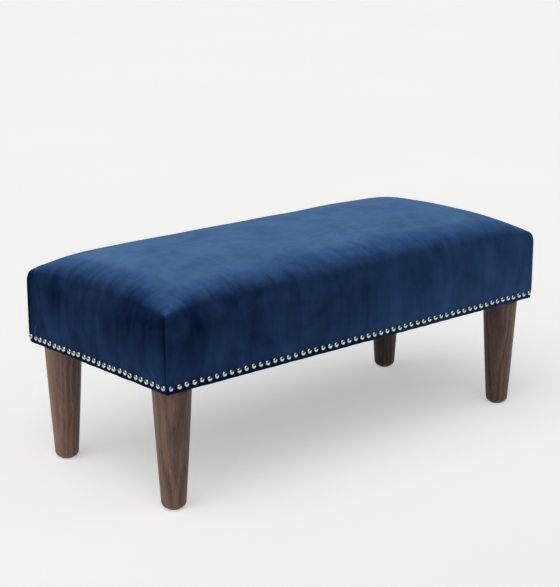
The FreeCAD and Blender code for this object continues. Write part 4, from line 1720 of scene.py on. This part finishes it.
class BENCH_OT_stage(Operator):
    """Sets the pale floor, the soft studio light and the camera"""

    bl_idname = "bench.stage"
    bl_label = "Stage"

    sensor_width = 36.0
    far_clip = 200.0

    def execute(self, context):
        scene = context.scene
        stage = scene.bench_stage
        reach = stage.floor_reach
        corners = [(-reach, -reach, 0), (reach, -reach, 0), (reach, reach, 0), (-reach, reach, 0)]
        mesh_object("studio_floor", corners, [(0, 1, 2, 3)], floor_finish(stage), smooth=False)
        self.light_room(scene, stage)
        self.set_camera(scene, stage)
        scene.view_settings.view_transform = "Standard"
        return {"FINISHED"}

    def light_room(self, scene, stage):
        """A dim room with a few broad, soft-edged lights, placed from the camera's side."""
        world = bpy.data.worlds.new("studio_room")
        world.use_nodes = True
        tree = world.node_tree
        direction = wire(tree, "ShaderNodeTexCoord").outputs["Generated"]
        total = stage.room_light
        for turn, height, reach, strength in LIGHTS.values():
            ends = {0: direction, 1: self.light_direction(stage, math.radians(turn), math.radians(height))}
            near = wire(tree, "ShaderNodeVectorMath", ends, operation="DOT_PRODUCT").outputs["Value"]
            span = math.cos(math.radians(reach)), math.cos(math.radians(LIGHT_CORE * reach))
            total = added(tree, total, stretch(tree, near, span, (0.0, strength)))
        background = tree.nodes["Background"]
        tree.links.new(total, background.inputs["Strength"])
        background.inputs["Color"].default_value = (1.0, 1.0, 1.0, 1.0)
        scene.world = world

    @staticmethod
    def light_direction(stage, turn, height):
        """Where a light stands, turned from the camera's side towards its left and raised."""
        behind = Vector(stage.camera_place).xy.normalized()
        flat_x = behind.x * math.cos(turn) + behind.y * math.sin(turn)
        flat_y = behind.y * math.cos(turn) - behind.x * math.sin(turn)
        return flat_x * math.cos(height), flat_y * math.cos(height), math.sin(height)

    def set_camera(self, scene, stage):
        """The camera at the photograph's place and angle."""
        camera = bpy.data.objects.new("camera", bpy.data.cameras.new("camera"))
        camera.data.lens = stage.camera_lens
        camera.data.sensor_width = self.sensor_width
        camera.data.clip_end = self.far_clip
        camera.location = stage.camera_place
        camera.rotation_euler = (math.pi / 2 - stage.camera_pitch, 0.0, -stage.camera_yaw)
        scene.collection.objects.link(camera)
        scene.camera = camera


OPERATORS = (
    BENCH_OT_stage,
    BENCH_OT_frame_finishes,
    BENCH_OT_webbing,
    BENCH_OT_padding,
    BENCH_OT_cover,
    BENCH_OT_nails,
    BENCH_OT_legs,
    BENCH_OT_underside,
)


class BENCH_PT_sidebar(Panel):
    """Lists the bench's settings and the steps that make it"""

    bl_label = "Upholstered bench"
    bl_idname = "BENCH_PT_sidebar"
    bl_space_type = "VIEW_3D"
    bl_region_type = "UI"
    bl_category = "Bench"

    def draw(self, context):
        for operator in OPERATORS:
            self.layout.operator(operator.bl_idname)
        for name, group in SETTINGS.items():
            box = self.layout.box()
            for setting in group.__annotations__:
                box.prop(getattr(context.scene, name), setting)


def register():
    """Registers the settings, the operators and the panel."""
    for name, group in SETTINGS.items():
        bpy.utils.register_class(group)
        setattr(bpy.types.Scene, name, PointerProperty(type=group))
    for kind in (*OPERATORS, BENCH_PT_sidebar):
        bpy.utils.register_class(kind)


def unregister():
    """Takes the panel, the operators and the settings out again."""
    for kind in (BENCH_PT_sidebar, *reversed(OPERATORS)):
        bpy.utils.unregister_class(kind)
    for name, group in reversed(SETTINGS.items()):
        delattr(bpy.types.Scene, name)
        bpy.utils.unregister_class(group)


def main():
    """Makes the bench and its stage."""
    register()
    for operator in OPERATORS:
        group, name = operator.bl_idname.split(".")
        getattr(getattr(bpy.ops, group), name)()


if __name__ == "__main__":
    main()
